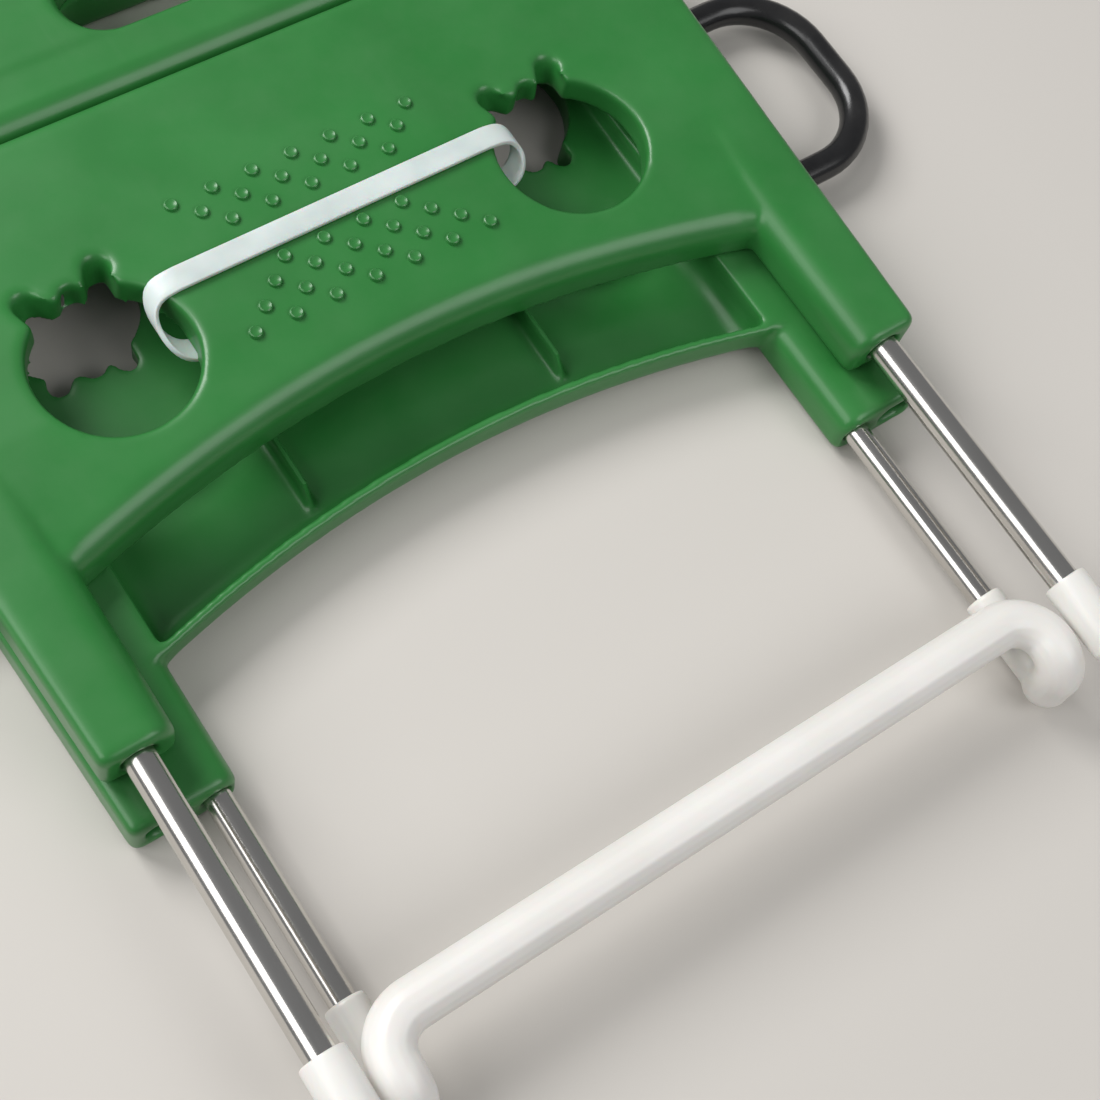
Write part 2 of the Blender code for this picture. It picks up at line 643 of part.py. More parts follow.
def screws():
    """Screws that hold the tubes in their sleeves and the loops in the panel."""
    for upper, label in ((True, "upper"), (False, "lower")):
        out = 1.0 if upper else -1.0
        mid_z = UPPER_Z if upper else LOWER_Z
        mouth = UPPER_MOUTH if upper else LOWER_MOUTH
        tube_x = UPPER_TUBE_X if upper else LOWER_TUBE_X
        radius = UPPER_TUBE_RADIUS if upper else LOWER_TUBE_RADIUS
        seat_z = mid_z - out * (PANEL_THICK / 2 - SCREW_RECESS + FIT_GAP)
        length = abs(mid_z - seat_z) - radius - FIT_GAP + SCREW_HEAD
        for side, hand in ((-1, "left"), (1, "right")):
            place = (side * tube_x, LEG_AXIS_Y - mouth + TUBE_SCREW_BACK, seat_z)
            screw(f"tube_screw_{label}_{hand}", place, (0.0, 0.0, out), length)
    for side, hand in ((-1, "left"), (1, "right")):
        for end, (_, y) in zip(("front", "rear"), loop_end_places(side)):
            x = side * (side_x(y) - LOOP_PLUG / 2)
            seat_z = PANEL_THICK - SCREW_RECESS + FIT_GAP
            length = seat_z - LOWER_Z - LOOP_RADIUS - FIT_GAP + SCREW_HEAD
            screw(f"loop_screw_{hand}_{end}", (x, y, seat_z), (0.0, 0.0, -1.0), length)


def cap_blank(tube_radius, length, place):
    """A foot cap before its bore is cut, with its round end at place."""
    outer = tube_radius + FIT_GAP + CAP_WALL
    lip = [(0.0, length), (outer - CAP_LIP, length), (outer, length - CAP_LIP)]
    round_end = [(outer * math.sin(step * math.pi / 12), CAP_ROUND * (1 - math.cos(step * math.pi / 12)))
                 for step in range(6, -1, -1)]
    return turned("cap", lip + round_end, place, (0.0, 1.0, 0.0))


def cap_bore(tube_radius, length, floor, place):
    """The bore that a leg tube is pressed into."""
    x, y, z = place
    return cylinder("bore", tube_radius + FIT_GAP, (x, y + floor, z), (x, y + length + PAST, z), 32)


def foot_caps():
    """Two white caps on the upper legs."""
    for side, hand in ((-1, "left"), (1, "right")):
        place = (side * UPPER_TUBE_X, FOOT_Y, UPPER_Z)
        cap = cap_blank(UPPER_TUBE_RADIUS, UPPER_CAP_LENGTH, place)
        cap = cut(cap, cap_bore(UPPER_TUBE_RADIUS, UPPER_CAP_LENGTH, UPPER_CAP_FLOOR, place))
        publish(cap, f"foot_cap_upper_{hand}", "white_plastic", place)


def ball(name, radius, place):
    """A closed round ball."""
    work = bmesh.new()
    bmesh.ops.create_uvsphere(work, u_segments=18, v_segments=9, radius=radius)
    bmesh.ops.transform(work, verts=work.verts, matrix=Matrix.Translation(place))
    mesh = bpy.data.meshes.new(name)
    work.to_mesh(mesh)
    work.free()
    return new_object(name, mesh)


def bar_path():
    """Middle line of the foot bar: up from one foot, across, and down to the other."""
    end_y = FOOT_Y + BAR_RADIUS
    rise = FOOT_Y + BAR_BACK - BAR_BEND - end_y
    half = [(LOWER_TUBE_X, end_y, LOWER_Z)]
    for step in range(7):
        angle = step * math.pi / 12
        half.append((LOWER_TUBE_X, end_y + rise * (1 - math.cos(angle)),
                     BAR_HEIGHT - rise * (1 - math.sin(angle))))
    for step in range(1, 7):
        angle = step * math.pi / 12
        half.append((LOWER_TUBE_X - BAR_BEND * (1 - math.cos(angle)),
                     end_y + rise + BAR_BEND * math.sin(angle), BAR_HEIGHT))
    return [(-x, y, z) for x, y, z in half] + half[::-1]


def foot_bar():
    """White foot bar with the two sockets that close the lower legs."""
    bar = tube_path("foot_bar", bar_path(), BAR_RADIUS, 3)
    for side in (-1, 1):
        place = (side * LOWER_TUBE_X, FOOT_Y, LOWER_Z)
        heel = ball("heel", BAR_RADIUS + BALL_PROUD, (place[0], FOOT_Y + BAR_RADIUS, LOWER_Z))
        bar = join(bar, heel, cap_blank(LOWER_TUBE_RADIUS, LOWER_CAP_LENGTH, place))
        bar = cut(bar, cap_bore(LOWER_TUBE_RADIUS, LOWER_CAP_LENGTH, LOWER_CAP_FLOOR, place))
    return publish(bar, "foot_bar", "white_plastic", (0.0, FOOT_Y, LOWER_Z))


def strap_path():
    """Closed path of the strap round the web between the cut-outs, in x and z."""
    face_z = UPPER_Z + PANEL_THICK / 2
    high = face_z + FIT_GAP + STRAP_THICK / 2
    low = face_z - WALL - RIB_DEPTH - FIT_GAP - STRAP_THICK / 2
    radius = (high - low) / 2
    middle = (high + low) / 2
    points = []
    for side, first in ((1, -math.pi / 2), (-1, math.pi / 2)):
        for step in range(11):
            angle = first + math.pi * step / 10
            points.append((side * STRAP_END_X + radius * math.cos(angle), middle + radius * math.sin(angle)))
    return points


def carry_strap():
    """Flat strap in a closed loop round the web of the upper panel."""
    path = strap_path()
    solids = []
    for grow in (STRAP_THICK / 2, -STRAP_THICK / 2):
        points = []
        for index, (x, z) in enumerate(path):
            before = Vector(path[index - 1])
            after = Vector(path[(index + 1) % len(path)])
            along = (after - before).normalized()
            points.append((x + along.y * grow, z - along.x * grow))
        solid = outline("strap", points, -STRAP_WIDTH / 2, STRAP_WIDTH / 2)
        turn = Matrix.Translation((0.0, LEG_AXIS_Y - STRAP_Y, 0.0)) @ Matrix.Rotation(math.pi / 2, 4, "X")
        solid.data.transform(turn)
        solids.append(solid)
    band = cut(solids[0], solids[1])
    return publish(band, "carry_strap", "strap_nylon", (0.0, LEG_AXIS_Y - STRAP_Y, UPPER_Z))


def loop_path(side):
    """Middle line of a side loop, from one end to the other."""
    (_, first_y), (_, last_y) = loop_end_places(side)
    out_x = side_x((first_y + last_y) / 2) + LOOP_REACH - LOOP_RADIUS
    radius = LOOP_BEND
    points = [(side_x(first_y) - LOOP_PLUG + FIT_GAP, first_y)]
    for middle_y, first in ((first_y + radius, -math.pi / 2), (last_y - radius, 0.0)):
        for step in range(7):
            angle = first + math.pi / 2 * step / 6
            points.append((out_x - radius + radius * math.cos(angle), middle_y + radius * math.sin(angle)))
    points.append((side_x(last_y) - LOOP_PLUG + FIT_GAP, last_y))
    return [(side * x, y, LOWER_Z) for x, y in points]


def side_loops():
    """Black moulded loops on both sides of the lower leg panel."""
    for side, hand in ((-1, "left"), (1, "right")):
        loop = tube_path("loop", loop_path(side), LOOP_RADIUS, 3)
        place = (side * MOUTH_HALF_WIDTH, LEG_AXIS_Y - LOOP_Y, LOWER_Z)
        publish(loop, f"side_loop_{hand}", "black_plastic", place)


leg_panel("leg_panel_lower", upper=False)
leg_panel("leg_panel_upper", upper=True)
seat_half("seat_half_lower", upper=False)
seat_half("seat_half_upper", upper=True)
hinge_rods()
for hand, side in (("left", -1), ("right", 1)):
    leg_tube(f"leg_tube_upper_{hand}", side * UPPER_TUBE_X, UPPER_Z, UPPER_TUBE_RADIUS, UPPER_MOUTH,
             UPPER_CAP_FLOOR + FIT_GAP)
    leg_tube(f"leg_tube_lower_{hand}", side * LOWER_TUBE_X, LOWER_Z, LOWER_TUBE_RADIUS, LOWER_MOUTH,
             LOWER_CAP_FLOOR + FIT_GAP)
screws()
foot_caps()
foot_bar()
carry_strap()
side_loops()
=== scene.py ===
"""Looks of a centre-folding step stool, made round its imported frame.

The stool lies folded on its lower leg panel: +Y points from the feet to the
seat, +X to the right, +Z up.  All sizes are in metres.
"""
import json
import logging
import math
from contextlib import contextmanager
from dataclasses import dataclass
from enum import Enum
from typing import Callable, ClassVar, Iterator, Sequence

import bpy
from mathutils import Matrix, Vector


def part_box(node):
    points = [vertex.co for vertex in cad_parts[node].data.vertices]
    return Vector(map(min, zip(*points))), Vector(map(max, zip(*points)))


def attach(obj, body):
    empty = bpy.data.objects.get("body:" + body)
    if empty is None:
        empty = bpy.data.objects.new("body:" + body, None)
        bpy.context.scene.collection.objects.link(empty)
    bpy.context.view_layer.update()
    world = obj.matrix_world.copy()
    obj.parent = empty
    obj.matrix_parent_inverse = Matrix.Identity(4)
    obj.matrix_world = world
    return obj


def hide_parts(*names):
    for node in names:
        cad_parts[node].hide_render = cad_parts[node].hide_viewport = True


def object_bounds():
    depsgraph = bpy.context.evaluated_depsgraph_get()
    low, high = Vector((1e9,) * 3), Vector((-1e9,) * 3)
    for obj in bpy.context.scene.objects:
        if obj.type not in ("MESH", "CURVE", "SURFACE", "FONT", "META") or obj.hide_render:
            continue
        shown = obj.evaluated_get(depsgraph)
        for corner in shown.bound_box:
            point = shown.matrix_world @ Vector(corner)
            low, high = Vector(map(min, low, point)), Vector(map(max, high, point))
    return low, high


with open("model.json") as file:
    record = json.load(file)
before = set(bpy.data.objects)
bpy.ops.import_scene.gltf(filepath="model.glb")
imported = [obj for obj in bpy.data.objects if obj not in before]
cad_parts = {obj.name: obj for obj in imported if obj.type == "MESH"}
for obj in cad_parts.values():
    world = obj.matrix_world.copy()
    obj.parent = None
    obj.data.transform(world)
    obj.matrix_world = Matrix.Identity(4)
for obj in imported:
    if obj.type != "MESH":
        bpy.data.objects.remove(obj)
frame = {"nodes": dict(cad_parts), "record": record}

Solid = bpy.types.Object
Tree = bpy.types.NodeTree
Node = bpy.types.Node
Material = bpy.types.Material
Flat = tuple[float, float]
Triple = tuple[float, float, float]
Outline = list[Flat]

logging.basicConfig(level=logging.INFO, format="%(message)s")
LOG = logging.getLogger("step_stool")

CAD_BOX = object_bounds()
FAR = 0.5                    # past everything
PAST = 0.010                 # how far a cutter runs past the face it opens
FIT_GAP = 0.0003             # between parts that touch
RUNNING_GAP = 0.0005         # between parts that turn past each other
SAME = 0.00005               # places nearer than this count as one
SEAM = 0.000002              # corners nearer than this are merged
EDGE_ANGLE = 50              # corners sharper than this, in degrees, are softened


class Layer(Enum):
    """The folded stool's two layers, by the way their outer faces look."""

    LOWER = -1
    UPPER = 1

    @property
    def word(self) -> str:
        """The layer's part of a node name."""
        return self.name.lower()


class Hand(Enum):
    """Left and right, seen from the feet."""

    LEFT = -1
    RIGHT = 1

    @property
    def word(self) -> str:
        """The side's part of a node name."""
        return self.name.lower()


# ---- hand tools ------------------------------------------------------------

def deselect() -> None:
    """Leave every object unselected."""
    for obj in list(bpy.context.selected_objects):
        obj.select_set(False)


def pick(obj: Solid) -> None:
    """Make one object the only selected and active one."""
    deselect()
    obj.select_set(True)
    bpy.context.view_layer.objects.active = obj


@contextmanager
def editing() -> Iterator[None]:
    """Work on the active mesh in edit mode."""
    bpy.ops.object.mode_set(mode="EDIT")
    yield
    bpy.ops.object.mode_set(mode="OBJECT")


def settle(name: str) -> Solid:
    """Name the new object and put its place and size into its mesh.

    Args:
        name: the object's name.

    Returns:
        The object, at the origin, unturned and unscaled.
    """
    obj = bpy.context.object
    obj.name = name
    obj.data.name = name
    bpy.ops.object.transform_apply(location=True, rotation=True, scale=True)
    return obj


def block(name: str, low: Sequence[float], high: Sequence[float]) -> Solid:
    """A closed block between two corners.

    Args:
        name: the object's name.
        low: its lowest corner.
        high: its highest corner.

    Returns:
        The block.
    """
    deselect()
    low, high = Vector(low), Vector(high)
    bpy.ops.mesh.primitive_cube_add(size=1.0, location=(low + high) / 2, scale=high - low)
    return settle(name)


def rod(name: str, start: Sequence[float], end: Sequence[float], radius: float,
        sides: int = 48) -> Solid:
    """A closed round rod between two points.

    Args:
        name: the object's name.
        start: middle of one end.
        end: middle of the other end.
        radius: the rod's radius.
        sides: how many flats stand for its round side.

    Returns:
        The rod.
    """
    deselect()
    start, end = Vector(start), Vector(end)
    turn = (end - start).to_track_quat("Z", "Y").to_euler()
    bpy.ops.mesh.primitive_cylinder_add(vertices=sides, radius=radius, depth=(end - start).length,
                                        location=(start + end) / 2, rotation=turn)
    return settle(name)


def upright(name: str, x: float, y: float, low: float, high: float, radius: float,
            sides: int = 48) -> Solid:
    """A round rod that stands at x and y, between two heights."""
    return rod(name, (x, y, low), (x, y, high), radius, sides)


def axle(y: float, z: float, radius: float, sides: int = 48) -> Solid:
    """A rod along x, longer than everything, to bore a hinge with."""
    return rod("rod", (-FAR, y, z), (FAR, y, z), radius, sides)


def ball(name: str, place: Sequence[float], radius: float) -> Solid:
    """A closed round ball.

    Args:
        name: the object's name.
        place: its middle.
        radius: its radius.

    Returns:
        The ball.
    """
    deselect()
    bpy.ops.mesh.primitive_uv_sphere_add(segments=40, ring_count=20, radius=radius, location=place)
    return settle(name)


def plate(name: str, points: Sequence[Flat], low: float, high: float) -> Solid:
    """A flat outline drawn up into a plate.

    Args:
        name: the object's name.
        points: the outline's corners in x and y.
        low: height of its underside.
        high: height of its top.

    Returns:
        The plate.
    """
    deselect()
    bpy.ops.mesh.primitive_circle_add(vertices=len(points), radius=1.0, fill_type="NGON")
    obj = settle(name)
    for vertex, (x, y) in zip(obj.data.vertices, points):
        vertex.co = (x, y, low)
    with editing():
        bpy.ops.mesh.select_all(action="SELECT")
        bpy.ops.mesh.extrude_region_move(TRANSFORM_OT_translate={"value": (0.0, 0.0, high - low)})
    face_out(obj)
    return obj


def funnel(name: str, narrow: Sequence[Flat], wide: Sequence[Flat],
           start: float, end: float) -> Solid:
    """An upright solid that widens from one outline to another.

    Args:
        name: the object's name.
        narrow: corners of the outline at its start.
        wide: the same corners at its end.
        start: height of the narrow outline.
        end: height of the wide one.

    Returns:
        The solid.
    """
    made = plate(name, narrow, min(start, end), max(start, end))
    corners = [Vector((x, y)) for x, y in narrow]
    for vertex in made.data.vertices:
        if abs(vertex.co.z - end) > SAME:
            continue
        index = min(range(len(corners)), key=lambda corner: (corners[corner] - vertex.co.xy).length)
        vertex.co.xy = wide[index]
    return made


def turned(name: str, profile: Sequence[Flat], start: Sequence[float],
           direction: Sequence[float], steps: int = 48) -> Solid:
    """A shape turned about a line.

    Args:
        name: the object's name.
        profile: its outline as (radius, distance along the line). An outline that
            meets the line at both ends is open there; any other one closes on itself.
        start: where the line starts.
        direction: the way the line runs.
        steps: how many flats stand for a full turn.

    Returns:
        The turned shape, its faces pointing out.
    """
    deselect()
    bpy.ops.mesh.primitive_circle_add(vertices=len(profile), radius=1.0)
    obj = settle(name)
    for vertex, (radius, along) in zip(obj.data.vertices, profile):
        vertex.co = (radius, 0.0, along)
    if min(radius for radius, _ in profile) <= 0.0:
        last = {0, len(profile) - 1}
        select_edges(obj, lambda edge: set(edge.vertices) == last)
        with editing():
            bpy.ops.mesh.delete(type="EDGE")
    modify(obj, "SCREW", steps=steps, render_steps=steps, use_merge_vertices=True, merge_threshold=0.00001)
    turn = Vector(direction).to_track_quat("Z", "Y").to_matrix().to_4x4()
    obj.data.transform(Matrix.Translation(start) @ turn)
    face_out(obj)
    return obj


def bent_bar(name: str, points: Sequence[Sequence[float]], radius: float,
             sides: int = 7) -> Solid:
    """A round bar along a path, its ends closed.

    Args:
        name: the object's name.
        points: the path of its middle line.
        radius: its radius.
        sides: how finely its round side is made, as a curve's bevel resolution.

    Returns:
        The bar as a closed mesh.
    """
    deselect()
    bpy.ops.curve.primitive_nurbs_path_add(location=(0.0, 0.0, 0.0))
    obj = bpy.context.object
    obj.name = name
    path = obj.data
    path.splines.clear()
    spline = path.splines.new("POLY")
    spline.points.add(len(points) - 1)
    for point, place in zip(spline.points, points):
        point.co = (*place, 1.0)
    path.bevel_depth = radius
    path.bevel_resolution = sides
    path.use_fill_caps = True
    bpy.ops.object.convert(target="MESH")
    obj = settle(name)
    face_out(obj, SEAM)
    return obj


def select_edges(obj: Solid, wanted: Callable) -> bool:
    """Select the edges that pass a test, and nothing else.

    Args:
        obj: the object.
        wanted: the test, given each edge.

    Returns:
        Whether there are any.
    """
    pick(obj)
    mesh = obj.data
    bpy.context.tool_settings.mesh_select_mode = (False, True, False)
    for group in (mesh.vertices, mesh.edges, mesh.polygons):
        for item in group:
            item.select = False
    chosen = [edge for edge in mesh.edges if wanted(edge)]
    for edge in chosen:
        edge.select = True
        for index in edge.vertices:
            mesh.vertices[index].select = True
    return bool(chosen)


def level(one: Vector, two: Vector, height: float) -> bool:
    """Whether both ends of an edge are at a height."""
    return abs(one.z - height) < SAME and abs(two.z - height) < SAME


def round_edges(obj: Solid, width: float, segments: int,
                wanted: Callable[[Vector, Vector], bool]) -> None:
    """Round the edges whose two ends pass a test.

    Args:
        obj: the object.
        width: radius of the rounding.
        segments: how many flats stand for it.
        wanted: the test, given the places of an edge's two ends.
    """
    places = [vertex.co.copy() for vertex in obj.data.vertices]
    if select_edges(obj, lambda edge: wanted(*(places[index] for index in edge.vertices))):
        with editing():
            bpy.ops.mesh.bevel(offset=width, segments=segments, affect="EDGES", clamp_overlap=False)


def modify(obj: Solid, kind: str, **settings: object) -> None:
    """Put a modifier on an object and apply it.

    Args:
        obj: the object.
        kind: the modifier's type.
        settings: its values by name.
    """
    pick(obj)
    change = obj.modifiers.new(kind.lower(), kind)
    for name, value in settings.items():
        setattr(change, name, value)
    bpy.ops.object.modifier_apply(modifier=change.name)


def soften(obj: Solid, width: float, segments: int) -> None:
    """Round every sharp edge of a solid."""
    modify(obj, "BEVEL", width=width, segments=segments, limit_method="ANGLE",
           angle_limit=math.radians(EDGE_ANGLE))


def combine(target: Solid, operation: str, tools: Sequence[Solid]) -> None:
    """Work each tool on a target, and drop the tool.

    Args:
        target: the solid that is changed.
        operation: the Boolean's name.
        tools: the solids that change it.
    """
    for tool in tools:
        modify(target, "BOOLEAN", operation=operation, solver="EXACT", object=tool)
        bpy.data.objects.remove(tool)


def carve(target: Solid, *tools: Solid) -> None:
    """Cut each tool away from a target."""
    combine(target, "DIFFERENCE", tools)


def weld(target: Solid, *tools: Solid) -> None:
    """Join each tool to a target as one solid."""
    combine(target, "UNION", tools)


def face_out(obj: Solid, seam: float = 0.0) -> None:
    """Turn every face of a closed mesh outwards.

    Args:
        obj: the mesh's object.
        seam: corners nearer than this are merged first.
    """
    pick(obj)
    with editing():
        bpy.ops.mesh.select_all(action="SELECT")
        if seam:
            bpy.ops.mesh.remove_doubles(threshold=seam)
        bpy.ops.mesh.normals_make_consistent(inside=False)


def mould(obj: Solid, grain: float, rounds: int, triangles: int) -> None:
    """Give a carved solid the soft corners of a moulding.

    Args:
        obj: the solid.
        grain: size of the cells it is remade from.
        rounds: how often its surface is eased.
        triangles: how many triangles it may keep.
    """
    modify(obj, "REMESH", mode="VOXEL", voxel_size=grain)
    modify(obj, "SMOOTH", factor=0.5, iterations=rounds)
    count = sum(len(face.vertices) - 2 for face in obj.data.polygons)
    if count > triangles:
        modify(obj, "DECIMATE", ratio=triangles / count)


def smooth_shade(obj: Solid, degrees: float = 35.0) -> None:
    """Shade an object smooth, apart from its sharp edges."""
    pick(obj)
    bpy.ops.object.shade_smooth_by_angle(angle=math.radians(degrees))


def arc(middle: Flat, radius: float, first: float, last: float,
        steps: int) -> Outline:
    """Points along a round arc.

    Args:
        middle: the arc's centre.
        radius: its radius.
        first: the angle where it starts, in radians.
        last: the angle where it ends.
        steps: how many straight pieces stand for it.

    Returns:
        The points, both ends included.
    """
    points = []
    for step in range(steps + 1):
        angle = first + (last - first) * step / steps
        points.append((middle[0] + radius * math.cos(angle), middle[1] + radius * math.sin(angle)))
    return points


def round_ended(start: Flat, tip: Flat, start_radius: float,
                tip_radius: float) -> Outline:
    """An outline with two round ends.

    Args:
        start: middle of one round end.
        tip: middle of the other.
        start_radius: radius at the start.
        tip_radius: radius at the tip.

    Returns:
        The outline's corners.
    """
    along = math.atan2(tip[1] - start[1], tip[0] - start[0])
    half = math.pi / 2
    points = arc(tip, tip_radius, along - half, along + half, 16)
    return points + arc(start, start_radius, along + half, along + 3 * half, 16)


# ---- finishes --------------------------------------------------------------

def fill(node: Node, **values: object) -> Node:
    """Set a node's properties and inputs.

    Args:
        node: the node.
        values: a property's value by its name, or an input's by its label with _ for a space.

    Returns:
        The node.
    """
    for name, value in values.items():
        if hasattr(node, name):
            setattr(node, name, value)
        else:
            node.inputs[name.replace("_", " ")].default_value = value
    return node


def add_node(tree: Tree, kind: str, **values: object) -> Node:
    """Add a node and fill it in."""
    return fill(tree.nodes.new(kind), **values)


def wire(tree: Tree, *links: tuple) -> None:
    """Link nodes.

    Args:
        tree: the tree that they are in.
        links: for each link, a node and its output, then a node and its input.
    """
    for source, output, target, entry in links:
        tree.links.new(source.outputs[output], target.inputs[entry])


def calc(tree: Tree, operation: str, first: tuple, second: tuple,
         clamp: bool = False) -> Node:
    """Work out one number from two others.

    Args:
        tree: the tree that they are in.
        operation: what is done with them.
        first: a node and its output.
        second: another node and its output.
        clamp: whether the result is kept between 0 and 1.

    Returns:
        The node.
    """
    node = add_node(tree, "ShaderNodeMath", operation=operation, use_clamp=clamp)
    wire(tree, (*first, node, 0), (*second, node, 1))
    return node


def new_group(name: str, inputs: dict[str, float], outputs: dict[str, str]) -> tuple:
    """Start a shader node group.

    Args:
        name: the group's name.
        inputs: its number inputs and their usual values.
        outputs: its outputs and their socket types.

    Returns:
        The group, its input node and its output node.
    """
    group = bpy.data.node_groups.new(name, "ShaderNodeTree")
    for label, value in inputs.items():
        socket = group.interface.new_socket(name=label, in_out="INPUT", socket_type="NodeSocketFloat")
        socket.default_value = value
    for label, kind in outputs.items():
        group.interface.new_socket(name=label, in_out="OUTPUT", socket_type=kind)
    return group, group.nodes.new("NodeGroupInput"), group.nodes.new("NodeGroupOutput")


def ramp(tree: Tree, low: float, high: float) -> Node:
    """A ramp that is black up to one value and white from another."""
    node = tree.nodes.new("ShaderNodeValToRGB")
    node.color_ramp.elements[0].position = low
    node.color_ramp.elements[1].position = high
    return node


class Effects:
    """Surface effects that several finishes share, each built once."""

    def __init__(self) -> None:
        """Build every effect."""
        self.grain = self._grain()
        self.scuffs = self._scuffs()
        self.dust = self._dust()

    def _grain(self) -> Tree:
        """Fine mould grain over a slow ripple.

        Returns:
            The group, which puts out a height and a slow cloud.
        """
        group, start, end = new_group("mould_grain", {"Size": 900.0, "Ripple Size": 28.0},
                                      {"Height": "NodeSocketFloat", "Cloud": "NodeSocketFloat"})
        place = add_node(group, "ShaderNodeTexCoord")
        fine = add_node(group, "ShaderNodeTexNoise", Detail=3.0, Roughness=0.6)
        slow = add_node(group, "ShaderNodeTexNoise", Detail=2.0, Roughness=0.5)
        mix = add_node(group, "ShaderNodeMath", operation="MULTIPLY_ADD")
        mix.inputs[1].default_value = 0.25
        wire(group, (place, "Object", fine, "Vector"), (place, "Object", slow, "Vector"),
             (start, "Size", fine, "Scale"), (start, "Ripple Size", slow, "Scale"),
             (fine, "Fac", mix, 0), (slow, "Fac", mix, 2), (mix, 0, end, "Height"),
             (slow, "Fac", end, "Cloud"))
        return group

    def _scuffs(self) -> Tree:
        """Hairline scuffs in two directions, only in patches.

        Returns:
            The group, which puts out a mask.
        """
        group, start, end = new_group("scuffs", {"Size": 60.0, "Amount": 0.5}, {"Mask": "NodeSocketFloat"})
        place = add_node(group, "ShaderNodeTexCoord")
        masks = []
        for angle in (0.6, -0.9):
            turn = add_node(group, "ShaderNodeMapping", Rotation=(0.0, 0.0, angle),
                            Scale=(1.0, 0.035, 1.0))
            line = add_node(group, "ShaderNodeTexNoise", Detail=5.0, Roughness=0.7)
            edge = ramp(group, 0.63, 0.70)
            wire(group, (place, "Object", turn, "Vector"), (turn, "Vector", line, "Vector"),
                 (start, "Size", line, "Scale"), (line, "Fac", edge, "Fac"))
            masks.append((edge, "Color"))
        patch = add_node(group, "ShaderNodeTexNoise", Scale=22.0, Detail=2.0)
        patch_edge = ramp(group, 0.45, 0.72)
        both = calc(group, "MAXIMUM", *masks)
        limit = calc(group, "MULTIPLY", (both, 0), (patch_edge, "Color"))
        amount = calc(group, "MULTIPLY", (limit, 0), (start, "Amount"))
        wire(group, (place, "Object", patch, "Vector"), (patch, "Fac", patch_edge, "Fac"),
             (amount, 0, end, "Mask"))
        return group

    def _dust(self) -> Tree:
        """Thin dust that lies on what faces up.

        Returns:
            The group, which puts out a mask.
        """
        group, start, end = new_group("dust_film", {"Amount": 0.1}, {"Mask": "NodeSocketFloat"})
        place = add_node(group, "ShaderNodeTexCoord")
        cloud = add_node(group, "ShaderNodeTexNoise", Scale=45.0, Detail=6.0, Roughness=0.65)
        edge = ramp(group, 0.35, 0.80)
        split = add_node(group, "ShaderNodeSeparateXYZ")
        up = calc(group, "MULTIPLY", (split, "Z"), (edge, "Color"), clamp=True)
        amount = calc(group, "MULTIPLY", (up, 0), (start, "Amount"))
        wire(group, (place, "Object", cloud, "Vector"), (cloud, "Fac", edge, "Fac"),
             (place, "Normal", split, 0), (amount, 0, end, "Mask"))
        return group


@dataclass(frozen=True)
class Finish:
    """A finish: its colours, gloss and how strongly each shared effect shows."""

    name: str
    colour: Triple
    deep: Triple
    roughness: float
    worn_roughness: float
    metallic: float = 0.0
    coat: float = 0.0
    grain_size: float = 900.0
    ripple_size: float = 28.0
    bump: float = 0.05
    scuffs: float = 0.4
    dust: float = 0.05
    dust_colour: Triple = (0.55, 0.53, 0.49)
    subsurface: float = 0.0
    drawn: bool = False

    def build(self, effects: Effects) -> Material:
        """Make the finish's material.

        Args:
            effects: the shared effects.

        Returns:
            The material.
        """
        material = bpy.data.materials.new(self.name)
        material.use_nodes = True
        tree = material.node_tree
        shader = fill(tree.nodes["Principled BSDF"], Metallic=self.metallic, Coat_Weight=self.coat,
                      Coat_Roughness=0.12, Subsurface_Weight=self.subsurface, Subsurface_Scale=0.004)
        grain = add_node(tree, "ShaderNodeGroup", node_tree=effects.grain, Size=self.grain_size,
                         Ripple_Size=self.ripple_size)
        scuffs = add_node(tree, "ShaderNodeGroup", node_tree=effects.scuffs, Amount=self.scuffs)
        dust = add_node(tree, "ShaderNodeGroup", node_tree=effects.dust, Amount=self.dust)
        colours = ramp(tree, 0.30, 0.72)
        colours.color_ramp.elements[0].color = (*self.deep, 1.0)
        colours.color_ramp.elements[1].color = (*self.colour, 1.0)
        dusty = add_node(tree, "ShaderNodeMix", data_type="RGBA", B=(*self.dust_colour, 1.0))
        rough = add_node(tree, "ShaderNodeMapRange", To_Min=self.roughness, To_Max=self.worn_roughness)
        wear = calc(tree, "ADD", (scuffs, "Mask"), (dust, "Mask"), clamp=True)
        height = (grain, "Height")
        if self.drawn:
            height = (self._drawing_lines(tree), "Fac")
            soft = add_node(tree, "ShaderNodeMath", operation="MULTIPLY_ADD")
            soft.inputs[1].default_value = 0.5
            wire(tree, (*height, soft, 0), (wear, 0, soft, 2))
            wear = soft
        bump = add_node(tree, "ShaderNodeBump", Strength=self.bump, Distance=0.0002)
        wire(tree, (grain, "Cloud", colours, "Fac"), (dust, "Mask", dusty, "Factor"),
             (colours, "Color", dusty, "A"), (dusty, "Result", shader, "Base Color"),
             (wear, 0, rough, "Value"), (rough, "Result", shader, "Roughness"),
             (*height, bump, "Height"), (bump, "Normal", shader, "Normal"))
        return material

    def _drawing_lines(self, tree: Tree) -> Node:
        """Fine lines along Y, as drawing and polishing leave them on a tube.

        Args:
            tree: the material's tree.

        Returns:
            The texture node.
        """
        place = add_node(tree, "ShaderNodeTexCoord")
        stretch = add_node(tree, "ShaderNodeMapping", Scale=(1.0, 0.01, 1.0))
        lines = add_node(tree, "ShaderNodeTexNoise", Scale=1800.0, Detail=4.0, Roughness=0.6)
        wire(tree, (place, "Object", stretch, "Vector"), (stretch, "Vector", lines, "Vector"))
        return lines


